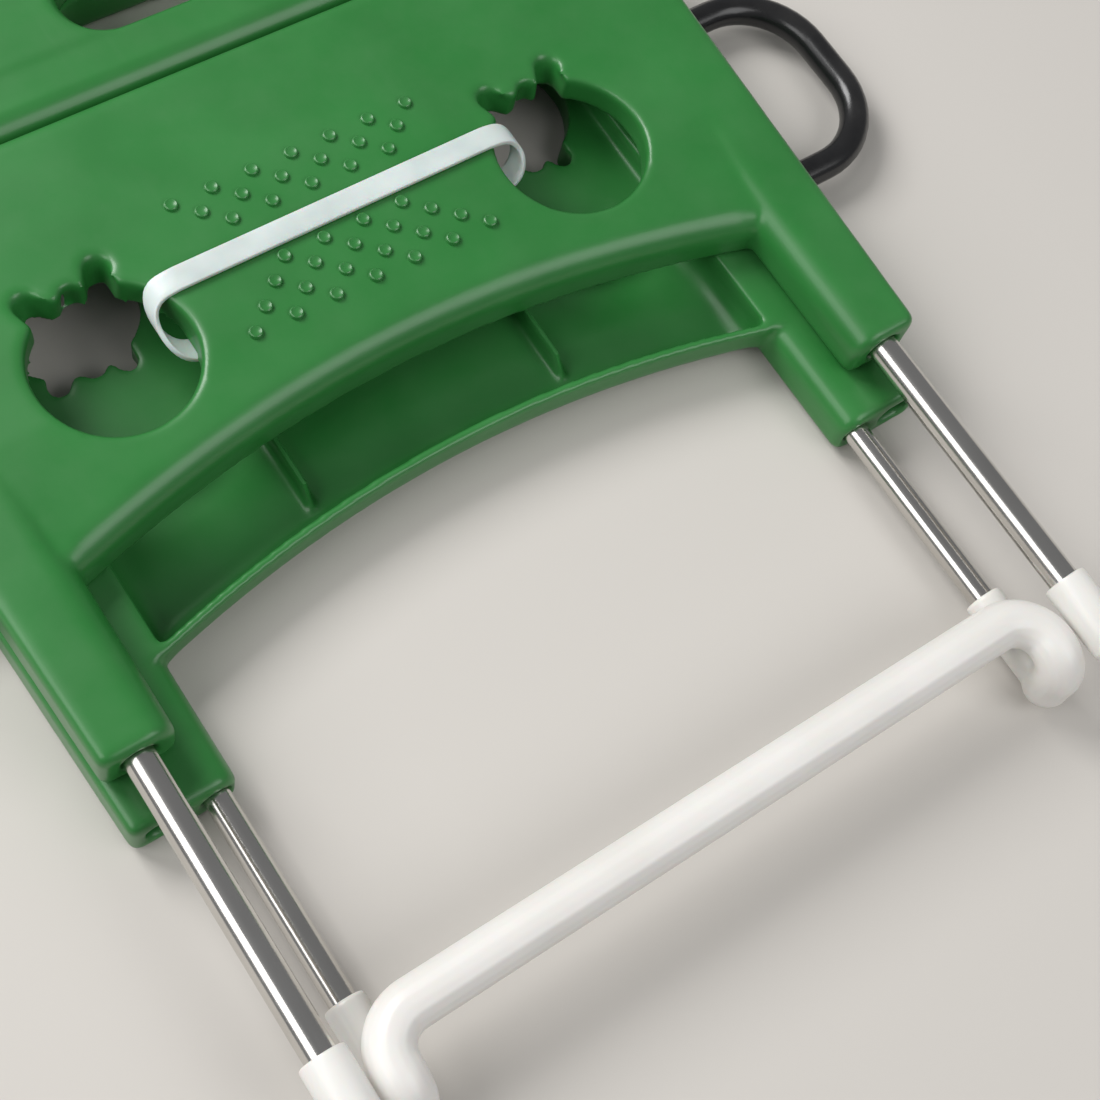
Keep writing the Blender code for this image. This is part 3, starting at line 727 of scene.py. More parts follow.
FINISHES = {
    "green_moulding": Finish("green_moulding", colour=(0.028, 0.196, 0.040), deep=(0.021, 0.166, 0.031),
                             roughness=0.34, worn_roughness=0.52, coat=0.06, bump=0.12, scuffs=0.30,
                             dust=0.03),
    "white_moulding": Finish("white_moulding", colour=(0.82, 0.80, 0.77), deep=(0.76, 0.74, 0.70),
                             roughness=0.34, worn_roughness=0.55, bump=0.08, scuffs=0.25, dust=0.05,
                             subsurface=0.15),
    "black_moulding": Finish("black_moulding", colour=(0.014, 0.014, 0.015), deep=(0.006, 0.006, 0.007),
                             roughness=0.24, worn_roughness=0.42, coat=0.0, bump=0.12, scuffs=0.3,
                             dust=0.03),
    "strap_nylon": Finish("strap_nylon", colour=(0.66, 0.72, 0.70), deep=(0.56, 0.63, 0.61),
                          roughness=0.30, worn_roughness=0.50, bump=0.10, ripple_size=90.0, scuffs=0.3,
                          dust=0.03, subsurface=0.3),
    "tube_steel": Finish("tube_steel", colour=(0.70, 0.68, 0.65), deep=(0.60, 0.58, 0.55),
                         roughness=0.13, worn_roughness=0.38, metallic=1.0, bump=0.05, scuffs=0.4,
                         dust=0.03, drawn=True),
    "rod_steel": Finish("rod_steel", colour=(0.55, 0.55, 0.55), deep=(0.42, 0.42, 0.42),
                        roughness=0.25, worn_roughness=0.50, metallic=1.0, bump=0.10, scuffs=0.4,
                        dust=0.05, drawn=True),
    "screw_steel": Finish("screw_steel", colour=(0.62, 0.62, 0.60), deep=(0.45, 0.46, 0.46),
                          roughness=0.22, worn_roughness=0.48, metallic=1.0, bump=0.10,
                          ripple_size=300.0, scuffs=0.6, dust=0.06),
}


# ---- the stool's places, read from the frame --------------------------------

def middle_of(node: str) -> Vector:
    """The middle of a node's box."""
    low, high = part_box(node)
    return (low + high) / 2


@dataclass(frozen=True)
class Places:
    """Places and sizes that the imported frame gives."""

    leg_axis_y: float
    centre_axis: Flat
    layer_z: dict[Layer, float]
    thick: float
    half_width: float
    foot_y: float

    @classmethod
    def read(cls) -> "Places":
        """Read them from the record's joints and the nodes' boxes."""
        joints = {joint["name"]: joint["pos_m"] for joint in frame["record"]["behaviour"]["joints"]}
        lower, upper = joints["lower_leg_hinge"], joints["upper_leg_hinge"]
        centre = joints["centre_hinge"]
        return cls(leg_axis_y=lower[1], centre_axis=(centre[1], centre[2]),
                   layer_z={Layer.LOWER: lower[2], Layer.UPPER: upper[2]}, thick=2 * lower[2],
                   half_width=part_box("leg_panel_lower")[1].x, foot_y=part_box("leg_tube_lower_left")[0].y)


@dataclass
class Workshop:
    """What every sub-assembly needs: the places, the materials and the way pieces are handed in."""

    places: Places
    materials: dict[str, Material]

    def hand_in(self, obj: Solid, name: str, body: str, slot: str, *nodes: str) -> None:
        """Dress a finished piece and put it on its body.

        Args:
            obj: the piece.
            name: its name.
            body: the body that it rides on.
            slot: the material slot that it takes its finish from.
            nodes: the nodes that it stands for.
        """
        obj.name = name
        obj.data.name = name
        obj.data.materials.clear()
        obj.data.materials.append(self.materials[slot])
        smooth_shade(obj)
        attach(obj, body)
        if nodes:
            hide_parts(*nodes)
        LOG.info("%s: %d faces", name, len(obj.data.polygons))


# ---- leg panels --------------------------------------------------------------

@dataclass
class CutOut:
    """A round opening with two tapered lobes and a small notch between them."""

    x: float
    y: float
    turn: float
    radius: float = 0.024
    root_radius: float = 0.0068
    tip_radius: float = 0.0036
    lobes: tuple = ((-0.0135, 0.0262), (0.0098, 0.0280))
    notch: Flat = (-0.0005, 0.0225)
    notch_radius: float = 0.0036
    lobe_root: float = 0.45
    draft: float = 0.30
    tip_taper: float = 0.10
    least_tip: float = 0.001
    rim_reach: float = 0.012
    notch_reach: float = 0.001

    def lobe(self, tip: Flat, outer: float, inner: float) -> Solid:
        """A cutter for one lobe, its far wall leaning towards the opening.

        Args:
            tip: middle of the lobe's end, from the middle of the opening.
            outer: height of the outer face.
            inner: height of the inner face.

        Returns:
            The cutter.
        """
        reach = Vector(tip).length
        past = PAST if outer > inner else -PAST
        outlines = []
        for height in (inner - past, outer + past):
            lean = self.draft * (outer - height) * (1.0 if outer > inner else -1.0)
            far = Vector(tip) * (1.0 - lean / reach)
            start = (self.x + tip[0] * self.lobe_root, self.y + self.turn * tip[1] * self.lobe_root)
            end = (self.x + far.x, self.y + self.turn * far.y)
            slim = max(self.tip_radius - self.tip_taper * lean, self.least_tip)
            outlines.append(round_ended(start, end, self.root_radius, slim))
        return funnel("lobe", outlines[0], outlines[1], inner - past, outer + past)

    def tools(self, outer: float, inner: float) -> list[Solid]:
        """Cutters for the opening.

        Args:
            outer: height of the outer face.
            inner: height of the inner face.

        Returns:
            The cutters.
        """
        low, high = min(outer, inner) - PAST, max(outer, inner) + PAST
        made = [upright("opening", self.x, self.y, low, high, self.radius, 72)]
        made += [self.lobe(tip, outer, inner) for tip in self.lobes]
        made.append(upright("notch", *self.notch_middle(), low, high, self.notch_radius, 28))
        return made

    def notch_middle(self) -> Flat:
        """Middle of the notch."""
        return self.x + self.notch[0], self.y + self.turn * self.notch[1]

    def rims(self, place: Vector) -> bool:
        """Whether a place on a face is on the rim of the opening or of its notch."""
        x, y = self.notch_middle()
        away = math.hypot(place.x - self.x, place.y - self.y)
        return (self.radius - SAME * 4 < away < self.radius + self.rim_reach
                or math.hypot(place.x - x, place.y - y) < self.notch_radius + self.notch_reach)


@dataclass
class Moulding:
    """What a leg panel and a seat half share: their places, walls and hinge."""

    shop: Workshop
    layer: Layer
    wall: float = 0.0032
    rib_thick: float = 0.0022
    ear_width: float = 0.020
    barrel_radius: float = 0.0085
    rod_radius: float = 0.003
    grain: float = 0.0010
    rounds: int = 6
    triangles: int = 120000
    kind: ClassVar[str] = ""

    def __post_init__(self) -> None:
        """Work out the places that follow from the frame."""
        places = self.shop.places
        self.out = float(self.layer.value)
        self.mid = places.layer_z[self.layer]
        self.half = places.thick / 2
        self.axis_y = places.leg_axis_y
        self.wide = places.half_width
        self.node = f"{self.kind}_{self.layer.word}"

    def hinge_bore(self) -> Solid:
        """Cutter for the leg hinge rod."""
        return axle(self.axis_y, self.mid, self.rod_radius + FIT_GAP)

    def finish(self, obj: Solid, group: str) -> None:
        """Soften the carved solid and hand it in.

        Args:
            obj: the solid.
            group: the kind of body that it rides on.
        """
        mould(obj, self.grain, self.rounds, self.triangles)
        self.shop.hand_in(obj, f"moulded_{self.node}", f"{self.layer.word}_{group}", "green_moulding",
                          self.node)


@dataclass(kw_only=True)
class LegPanel(Moulding):
    """A moulded leg panel: face, rim, ribs, collars, sleeves and ears."""

    kind: ClassVar[str] = "leg_panel"
    arch_corner: float
    arch_rise: float
    sleeve_inner: float
    mouth_half_width: float
    hole_y: float
    slope_drop: float = 0.0026
    slope_end: float = 0.0975
    rib_depth: float = 0.0075
    rib_x: float = 0.045
    cross_rib: float = 0.050
    collar_wall: float = 0.0025
    sleeve_round: float = 0.0085
    inner_round: float = 0.0030
    outer_round: float = 0.0034
    edge_round: float = 0.0027
    arch_round: float = 0.0082
    hinge_round: float = 0.0045
    rim_round: float = 0.0019
    floor_round: float = 0.0080
    ear_softness: float = 0.6
    lap: float = 0.003
    skin: float = 0.0006
    flare_depth: float = 0.0012
    flare: float = 0.0010
    socket_depth: float = 0.085
    land_shift: float = 0.0
    land_radius: float = 0.0
    rib_stop: float = 0.0030
    rib_slope: float = 0.0100
    screw_radius: float = 0.0031
    screw_recess: float = 0.0017
    hole_x: float = 0.0784
    grain: float = 0.00095
    rounds: int = 7
    triangles: int = 190000

    def __post_init__(self) -> None:
        """Work out the places that follow from the frame."""
        super().__post_init__()
        self.end_y = self.axis_y - self.barrel_radius - RUNNING_GAP
        self.mouth_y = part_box(self.node)[0].y
        tube_low, tube_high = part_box(f"leg_tube_{self.layer.word}_right")
        self.tube_x = (tube_low.x + tube_high.x) / 2
        self.tube_radius = (tube_high.x - tube_low.x) / 2
        turn = 1.0 if self.layer is Layer.UPPER else -1.0
        hole = self.axis_y - self.hole_y
        self.cut_outs = [CutOut(hand.value * self.hole_x, hole, turn) for hand in Hand]

    def height(self, share: float) -> float:
        """Height of a level: 1 is the outer face, -1 the inner one."""
        return self.mid + self.out * self.half * share

    def surface(self, y: float) -> float:
        """Height of the outer face at y, on the flat or on the slope."""
        share = (self.axis_y - self.slope_end - y) / (self.arch_corner - self.slope_end)
        return self.height(1.0) - self.out * self.slope_drop * min(max(share, 0.0), 1.0)

    def levels(self, first: float, second: float) -> Flat:
        """Two heights given as distances outwards from the middle, the lower one first."""
        one, two = self.mid + self.out * first, self.mid + self.out * second
        return min(one, two), max(one, two)

    def arch(self, half_width: float, corner_y: float, steps: int = 40) -> Outline:
        """Points of the free edge, right to left.

        Args:
            half_width: half its width.
            corner_y: where its ends are.
            steps: how many straight pieces stand for it.

        Returns:
            The points.
        """
        points = []
        for step in range(steps + 1):
            share = 1.0 - 2.0 * step / steps
            points.append((share * half_width, corner_y + self.arch_rise * (1.0 - share * share)))
        return points

    def face(self) -> Solid:
        """The middle of the panel, before it is hollowed."""
        wide = self.sleeve_inner + (self.sleeve_round + self.lap)
        top = self.height(1.0)
        corner_y = self.axis_y - self.arch_corner
        arch = self.arch(self.sleeve_inner, corner_y)
        points = [(wide, self.end_y), (wide, corner_y)] + arch + [(-wide, corner_y), (-wide, self.end_y)]
        face = plate(self.node, points[::-1], *self.levels(-self.half, self.half))
        wedge = block("slope", (-FAR, corner_y, top - PAST), (FAR, self.axis_y - self.slope_end, top + PAST))
        for vertex in wedge.data.vertices:
            if (vertex.co.z - top) * self.out < 0.0:
                low_end = vertex.co.y < corner_y + SAME
                vertex.co.z = top - self.out * (self.slope_drop if low_end else 0.0)
        carve(face, wedge)
        for hole in self.cut_outs:
            carve(face, *hole.tools(top, self.height(-1.0)))

        def on_top(one: Vector, two: Vector) -> bool:
            """Whether an edge is on the outer face or its slope."""
            return all((top - place.z) * self.out < self.slope_drop + SAME for place in (one, two))

        limit = corner_y + self.arch_rise + SAME
        inside = self.sleeve_inner + SAME
        round_edges(face, self.arch_round, 6, lambda one, two: on_top(one, two)
                    and max(one.y, two.y) < limit and max(abs(one.x), abs(two.x)) < inside)
        round_edges(face, self.hinge_round, 5, lambda one, two: on_top(one, two)
                    and min(one.y, two.y) > self.end_y - SAME)
        return face

    def round_rims(self, panel: Solid) -> None:
        """Round the outer rims of the cut-outs."""

        def on_rim(one: Vector, two: Vector) -> bool:
            """Whether an edge is part of a cut-out's rim on the outer face."""
            on_face = all(abs(place.z - self.surface(place.y)) < 2 * SAME for place in (one, two))
            return on_face and any(hole.rims(one) and hole.rims(two) for hole in self.cut_outs)

        round_edges(panel, self.rim_round, 4, on_rim)

    def sleeve(self, hand: Hand) -> Solid:
        """One sleeve along a side, with its soft inner shoulder.

        Args:
            hand: the side that it is on.

        Returns:
            The sleeve, before its socket is bored.
        """
        side = float(hand.value)
        points = [(side * self.sleeve_inner, self.mouth_y), (side * self.mouth_half_width, self.mouth_y),
                  (side * self.wide, self.end_y), (side * self.sleeve_inner, self.end_y)]
        sleeve = plate("sleeve", points if side > 0 else points[::-1], *self.levels(-self.half, self.half))
        near, far = self.sleeve_inner + SAME, self.mouth_half_width - SAME
        for width, segments, height in ((self.sleeve_round, 8, self.height(1.0)),
                                        (self.inner_round, 6, self.height(-1.0))):
            round_edges(sleeve, width, segments, lambda one, two: level(one, two, height)
                        and max(abs(one.x), abs(two.x)) < near)
        round_edges(sleeve, self.outer_round, 5, lambda one, two: level(one, two, self.height(1.0))
                    and min(abs(one.x), abs(two.x)) > far)
        soften(sleeve, self.edge_round, 3)
        return sleeve

    def ear(self, hand: Hand) -> Solid:
        """One ear beside the seat half, round about the hinge."""
        side = float(hand.value)
        low, high = sorted((side * (self.wide - self.ear_width), side * self.wide))
        ear = block("ear", (low, self.end_y - PAST, self.mid - self.half),
                    (high, self.axis_y, self.mid + self.half))
        weld(ear, rod("end", (low, self.axis_y, self.mid), (high, self.axis_y, self.mid), self.half, 64))
        soften(ear, self.edge_round * self.ear_softness, 2)
        return ear

    def hollow(self) -> Solid:
        """The space under the face: what is left between rim, ribs and collars."""
        reach = self.sleeve_inner - self.skin
        corner_y = self.axis_y - self.arch_corner + self.wall
        arch = self.arch(reach, corner_y)
        points = [(reach, self.end_y - self.wall)] + arch + [(-reach, self.end_y - self.wall)]
        floor = self.half - self.wall
        space = plate("hollow", points[::-1], *self.levels(-FAR, floor))
        bottom = self.mid + self.out * floor
        round_edges(space, self.floor_round, 6, lambda one, two: level(one, two, bottom))
        low, high = self.levels(floor - self.rib_depth, self.half)
        tip = self.mid + self.out * (floor - self.rib_depth)
        for hand in Hand:
            middle = hand.value * self.rib_x
            start = corner_y + self.arch_rise * (1 - (self.rib_x / reach) ** 2) + self.rib_stop
            rib = block("rib", (middle - self.rib_thick / 2, start, low),
                        (middle + self.rib_thick / 2, FAR, high))
            for vertex in rib.data.vertices:
                if abs(vertex.co.z - tip) < SAME and vertex.co.y < start + SAME:
                    vertex.co.y += self.rib_slope
            carve(space, rib)
        for hole in self.cut_outs:
            carve(space, *self.collars(hole, low, high))
        rib_y = self.axis_y - self.cross_rib
        carve(space, block("cross_rib", (-FAR, rib_y - self.rib_thick / 2, low),
                           (FAR, rib_y + self.rib_thick / 2, high)))
        return space

    def collars(self, hole: CutOut, low: float, high: float) -> list[Solid]:
        """Solids that keep a wall round a cut-out.

        Args:
            hole: the cut-out.
            low: height of their underside.
            high: height of their top.

        Returns:
            The solids.
        """
        reach = hole.radius + self.collar_wall
        made = [upright("collar", hole.x, hole.y, low, high, reach, 72)]
        if self.land_radius:
            made.append(upright("land", hole.x, hole.y - self.land_shift, low, high, self.land_radius, 72))
        for x, y in hole.lobes:
            start = (hole.x + x * hole.lobe_root, hole.y + hole.turn * y * hole.lobe_root)
            tip = (hole.x + x, hole.y + hole.turn * y)
            outline = round_ended(start, tip, hole.root_radius + self.collar_wall,
                                  hole.tip_radius + self.collar_wall)
            made.append(plate("collar", outline, low, high))
        return made

    def bores(self) -> list[Solid]:
        """Cutters for the sockets, the screws and the hinge rod."""
        made = []
        inner = self.height(-1.0)
        for hand in Hand:
            x = hand.value * self.tube_x
            made.append(rod("socket", (x, self.mouth_y - PAST, self.mid),
                            (x, self.mouth_y + self.socket_depth, self.mid), self.tube_radius + FIT_GAP))
            made.append(rod("mouth", (x, self.mouth_y - PAST, self.mid),
                            (x, self.mouth_y + self.flare_depth, self.mid), self.tube_radius + self.flare))
            y = middle_of(f"tube_screw_{self.layer.word}_{hand.word}").y
            made.append(upright("screw", x, y, inner - self.out * PAST,
                                inner + self.out * self.screw_recess, self.screw_radius, 32))
        made.append(self.hinge_bore())
        return made

    def build(self) -> None:
        """Build the panel and hand it in."""
        panel = self.face()
        carve(panel, self.hollow())
        for hand in Hand:
            weld(panel, self.sleeve(hand), self.ear(hand))
        carve(panel, *self.bores())
        self.extras(panel)
        self.round_rims(panel)
        self.finish(panel, "leg_frame")

    def extras(self, panel: Solid) -> None:
        """Cut what only one of the two panels has."""


@dataclass(kw_only=True)
class UpperLegPanel(LegPanel):
    """The upper leg panel, which carries the anti-slip dots."""

    dot_radius: float = 0.0022
    dot_height: float = 0.0011
    dot_pitch: float = 0.0134
    dot_row_pitch: float = 0.0060
    dot_rows: tuple[int, ...] = (7, 6, 5, 4, 3, 4, 5, 6, 7)
    dots_y: float = 0.0757
    strap_y: float = 0.0745
    strap_width: float = 0.0076

    def one_dot(self) -> Solid:
        """One dot with a dished top, standing on the face at the origin."""
        foot, tall = -0.0006, self.dot_height
        profile = [(0.0, foot), (self.dot_radius * 1.08, foot), (self.dot_radius, 0.0002),
                   (self.dot_radius * 0.92, tall * 0.80), (self.dot_radius * 0.76, tall),
                   (self.dot_radius * 0.55, tall * 0.82), (0.0, tall * 0.62)]
        return turned("dot", profile, (0.0, 0.0, 0.0), (0.0, 0.0, 1.0), 16)

    def dots(self) -> None:
        """Every dot of the hourglass pattern, as one piece."""
        pattern = self.one_dot()
        middle_row = (len(self.dot_rows) - 1) / 2
        copies = []
        for row, count in enumerate(self.dot_rows):
            y = self.axis_y - self.dots_y + (middle_row - row) * self.dot_row_pitch
            if abs(y - (self.axis_y - self.strap_y)) < self.strap_width / 2 + self.dot_radius:
                continue
            for index in range(count):
                x = (index - (count - 1) / 2) * self.dot_pitch
                copy = pattern.copy()
                copy.data = pattern.data.copy()
                copy.data.transform(Matrix.Translation((x, y, self.height(1.0))))
                bpy.context.scene.collection.objects.link(copy)
                copies.append(copy)
        bpy.data.objects.remove(pattern)
        deselect()
        for copy in copies:
            copy.select_set(True)
        bpy.context.view_layer.objects.active = copies[0]
        bpy.ops.object.join()
        self.shop.hand_in(copies[0], "anti_slip_dots", "upper_leg_frame", "green_moulding")


@dataclass(kw_only=True)
class LowerLegPanel(LegPanel):
    """The lower leg panel, with wide sleeve mouths and seats for the side loops."""

    recess_height: float = 0.009
    recess_width: float = 0.011
    recess_edge: float = 0.0045
    recess_depth: float = 0.030
    recess_round: float = 0.0025
    seat_lead: float = 0.0045
    seat_reach: float = 0.030

    def extras(self, panel: Solid) -> None:
        """Cut the long recesses beside the tubes and the seats of the loops."""
        radius = self.recess_height / 2
        for hand in Hand:
            outer = self.mouth_half_width - self.recess_edge
            low, high = sorted((hand.value * outer, hand.value * (outer - self.recess_width)))
            tool = block("recess", (low, self.mouth_y - PAST, self.mid - radius),
                         (high, self.mouth_y + self.recess_depth, self.mid + radius))
            modify(tool, "BEVEL", width=self.recess_round, segments=3)
            carve(panel, tool)
            for end in ("front", "rear"):
                x, y, _ = middle_of(f"loop_screw_{hand.word}_{end}")
                top = self.height(-1.0)
                carve(panel, upright("screw", x, y, top - self.screw_recess, top + PAST,
                                     self.screw_radius, 32))
                carve(panel, rod("seat", (x - hand.value * self.seat_lead, y, self.mid),
                                 (x + hand.value * self.seat_reach, y, self.mid),
                                 SideLoop.radius + FIT_GAP, 40))


# ---- seat --------------------------------------------------------------------

@dataclass
class SeatHalf(Moulding):
    """One half of the seat, with its leg barrel, hand slot and hinge knuckles."""

    kind: ClassVar[str] = "seat_half"
    knuckle_radius: float = 0.005
    centre_rod_radius: float = 0.002
    knuckle_count: int = 8
    end_block: float = 0.012
    slot_length: float = 0.068
    slot_width: float = 0.028
    slot_offset: float = 0.0265
    slot_flare: float = 0.0024
    edge_round: float = 0.0030
    rib_x: float = 0.072
    lap: float = 0.001
    skin: float = 0.0001
    shoulder_wall: float = 0.0064
    tongue_step: float = 0.0006

    def __post_init__(self) -> None:
        """Work out the places that follow from the frame."""
        super().__post_init__()
        self.centre_y, self.centre_z = self.shop.places.centre_axis

    def slot(self, grow: float) -> Outline:
        """Outline of the hand slot, made larger by grow."""
        reach = self.slot_length / 2 - self.slot_width / 2
        y = self.axis_y + self.slot_offset
        radius = self.slot_width / 2 + grow
        return round_ended((-reach, y), (reach, y), radius, radius)

    def build(self) -> None:
        """Build the seat half and hand it in."""
        shoulder = self.axis_y + self.half + RUNNING_GAP
        end = self.centre_y - FIT_GAP
        low_z, high_z = self.mid - self.half, self.mid + self.half
        seat = block(self.node, (-self.wide, shoulder, low_z), (self.wide, end + self.end_block, high_z))
        soften(seat, self.edge_round, 4)
        carve(seat, block("trim", (-FAR, end, -FAR), (FAR, FAR, FAR)))
        narrow = self.wide - self.ear_width - RUNNING_GAP
        depth = self.half - self.tongue_step
        tongue = block("tongue", (-narrow, self.axis_y, self.mid - depth),
                       (narrow, shoulder + self.edge_round + self.lap, self.mid + depth))
        reach = narrow - RUNNING_GAP
        barrel = rod("barrel", (-reach, self.axis_y, self.mid), (reach, self.axis_y, self.mid),
                     self.barrel_radius, 90)
        weld(seat, tongue, barrel)
        floor = sorted((self.mid + self.out * (self.half - self.wall), self.mid - self.out * FAR))
        space = block("space", (-self.wide + self.wall, shoulder + self.shoulder_wall, floor[0]),
                      (self.wide - self.wall, self.centre_y - self.end_block, floor[1]))
        carve(space, plate("wall", self.slot(self.wall), -FAR - PAST, FAR + PAST))
        for hand in Hand:
            middle = hand.value * self.rib_x
            carve(space, block("rib", (middle - self.rib_thick / 2, -FAR, -FAR - PAST),
                               (middle + self.rib_thick / 2, FAR, FAR + PAST)))
        carve(seat, space)
        surface = self.mid + self.out * self.half
        carve(seat, plate("slot", self.slot(0.0), -FAR, FAR))
        carve(seat, funnel("flare", self.slot(self.skin), self.slot(2 * self.slot_flare),
                           surface - self.out * self.slot_flare, surface + self.out * self.slot_flare))
        carve(seat, self.hinge_bore())
        self.knuckles(seat)
        self.finish(seat, "seat_half")

    def knuckles(self, seat: Solid) -> None:
        """Add this half's hinge knuckles and clear the other half's.

        Args:
            seat: the seat half.
        """
        pitch = 2 * self.wide / self.knuckle_count
        place = (self.centre_y, self.centre_z)
        for index in range(self.knuckle_count):
            low = -self.wide + index * pitch
            high = low + pitch
            if (index % 2 == 0) == (self.layer is Layer.UPPER):
                gap = RUNNING_GAP / 2
                weld(seat, rod("knuckle", (low + gap, *place), (high - gap, *place),
                               self.knuckle_radius, 40))
            else:
                carve(seat, rod("space", (low, *place), (high, *place),
                                self.knuckle_radius + RUNNING_GAP, 40))
        carve(seat, axle(*place, self.centre_rod_radius + FIT_GAP, 32))


# ---- legs, feet and bar --------------------------------------------------------

@dataclass
class Legs:
    """The steel tubes, the two upper foot caps and the foot bar."""

    shop: Workshop
    tube_wall: float = 0.0010
    tube_lip: float = 0.0003
    cap_wall: float = 0.00175
    cap_round: float = 0.0050
    upper_cap_floor: float = 0.0060
    lower_cap_floor: float = 0.0110
    bar_radius: float = 0.00725
    bar_back: float = 0.0275
    bar_bend: float = 0.012
    ball_proud: float = 0.0002
    cap_lip: float = 0.0009
    bar_grain: float = 0.0006
    bar_rounds: int = 4
    bar_triangles: int = 120000

    def tube(self, layer: Layer, hand: Hand) -> None:
        """Build one leg tube and hand it in.

        Args:
            layer: the layer that it is in.
            hand: the side that it is on.
        """
        node = f"leg_tube_{layer.word}_{hand.word}"
        low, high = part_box(node)
        radius = (high.x - low.x) / 2
        bore = radius - self.tube_wall
        length = high.y - low.y
        lip = self.tube_lip
        profile = [(radius - lip, length), (radius, length - lip), (radius, lip), (radius - lip, 0.0),
                   (bore, 0.0), (bore, length)]
        start = ((low.x + high.x) / 2, low.y, (low.z + high.z) / 2)
        tube = turned(node, profile, start, (0.0, 1.0, 0.0), 72)
        self.shop.hand_in(tube, f"polished_{node}", f"{layer.word}_leg_frame", "tube_steel", node)

    def cap(self, tube_radius: float, length: float, place: Sequence[float]) -> Solid:
        """A round-ended foot cap before its bore is cut.

        Args:
            tube_radius: radius of the tube that it takes.
            length: the cap's length.
            place: where its round end is.

        Returns:
            The cap.
        """
        outer = tube_radius + FIT_GAP + self.cap_wall
        soft = self.cap_lip * 0.3
        lip = [(0.0, length), (outer - self.cap_lip, length), (outer - soft, length - soft),
               (outer, length - self.cap_lip)]
        steps = 10
        round_end = []
        for step in range(steps, -1, -1):
            angle = step * math.pi / 2 / steps
            round_end.append((outer * math.sin(angle), self.cap_round * (1 - math.cos(angle))))
        return turned("cap", lip + round_end, place, (0.0, 1.0, 0.0), 56)

    def upper_cap(self, hand: Hand) -> None:
        """Build one upper foot cap and hand it in."""
        node = f"foot_cap_upper_{hand.word}"
        low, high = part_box(node)
        tube_low, tube_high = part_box(f"leg_tube_upper_{hand.word}")
        radius = (tube_high.x - tube_low.x) / 2
        place = ((low.x + high.x) / 2, low.y, (low.z + high.z) / 2)
        cap = self.cap(radius, high.y - low.y, place)
        carve(cap, rod("bore", (place[0], place[1] + self.upper_cap_floor, place[2]),
                       (place[0], high.y + PAST, place[2]), radius + FIT_GAP, 56))
        self.shop.hand_in(cap, f"soft_{node}", "upper_leg_frame", "white_moulding", node)

    def bar_path(self, x: float, foot_y: float, low_z: float, high_z: float) -> list[tuple]:
        """Middle line of the foot bar, from one foot up and across to the other."""
        end_y = foot_y + self.bar_radius
        rise = foot_y + self.bar_back - self.bar_bend - end_y
        steps = 12
        half = [(x, end_y, low_z)]
        for step in range(steps + 1):
            angle = step * math.pi / 2 / steps
            half.append((x, end_y + rise * (1 - math.cos(angle)), high_z - rise * (1 - math.sin(angle))))
        for step in range(1, steps + 1):
            angle = step * math.pi / 2 / steps
            half.append((x - self.bar_bend * (1 - math.cos(angle)),
                         end_y + rise + self.bar_bend * math.sin(angle), high_z))
        return [(-x, y, z) for x, y, z in half] + half[::-1]

    def foot_bar(self) -> None:
        """Build the foot bar with its two sockets and hand it in."""
        low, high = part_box("foot_bar")
        tube_low, tube_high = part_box("leg_tube_lower_right")
        x = (tube_low.x + tube_high.x) / 2
        leg_z = (tube_low.z + tube_high.z) / 2
        radius = (tube_high.x - tube_low.x) / 2
        bar = bent_bar("foot_bar", self.bar_path(x, low.y, leg_z, high.z - self.bar_radius), self.bar_radius)
        for hand in Hand:
            place = (hand.value * x, low.y, leg_z)
            heel = ball("heel", (place[0], low.y + self.bar_radius, leg_z),
                        self.bar_radius + self.ball_proud)
            weld(bar, heel, self.cap(radius, high.y - low.y, place))
        mould(bar, self.bar_grain, self.bar_rounds, self.bar_triangles)
        for hand in Hand:
            place = (hand.value * x, low.y, leg_z)
            carve(bar, rod("bore", (place[0], place[1] + self.lower_cap_floor, leg_z),
                           (place[0], high.y + PAST, leg_z), radius + FIT_GAP, 56))
        self.shop.hand_in(bar, "soft_foot_bar", "lower_leg_frame", "white_moulding", "foot_bar")

    def build(self) -> None:
        """Build every leg, cap and the bar."""
        for layer in Layer:
            for hand in Hand:
                self.tube(layer, hand)
        for hand in Hand:
            self.upper_cap(hand)
        self.foot_bar()


# ---- strap and side loops ------------------------------------------------------

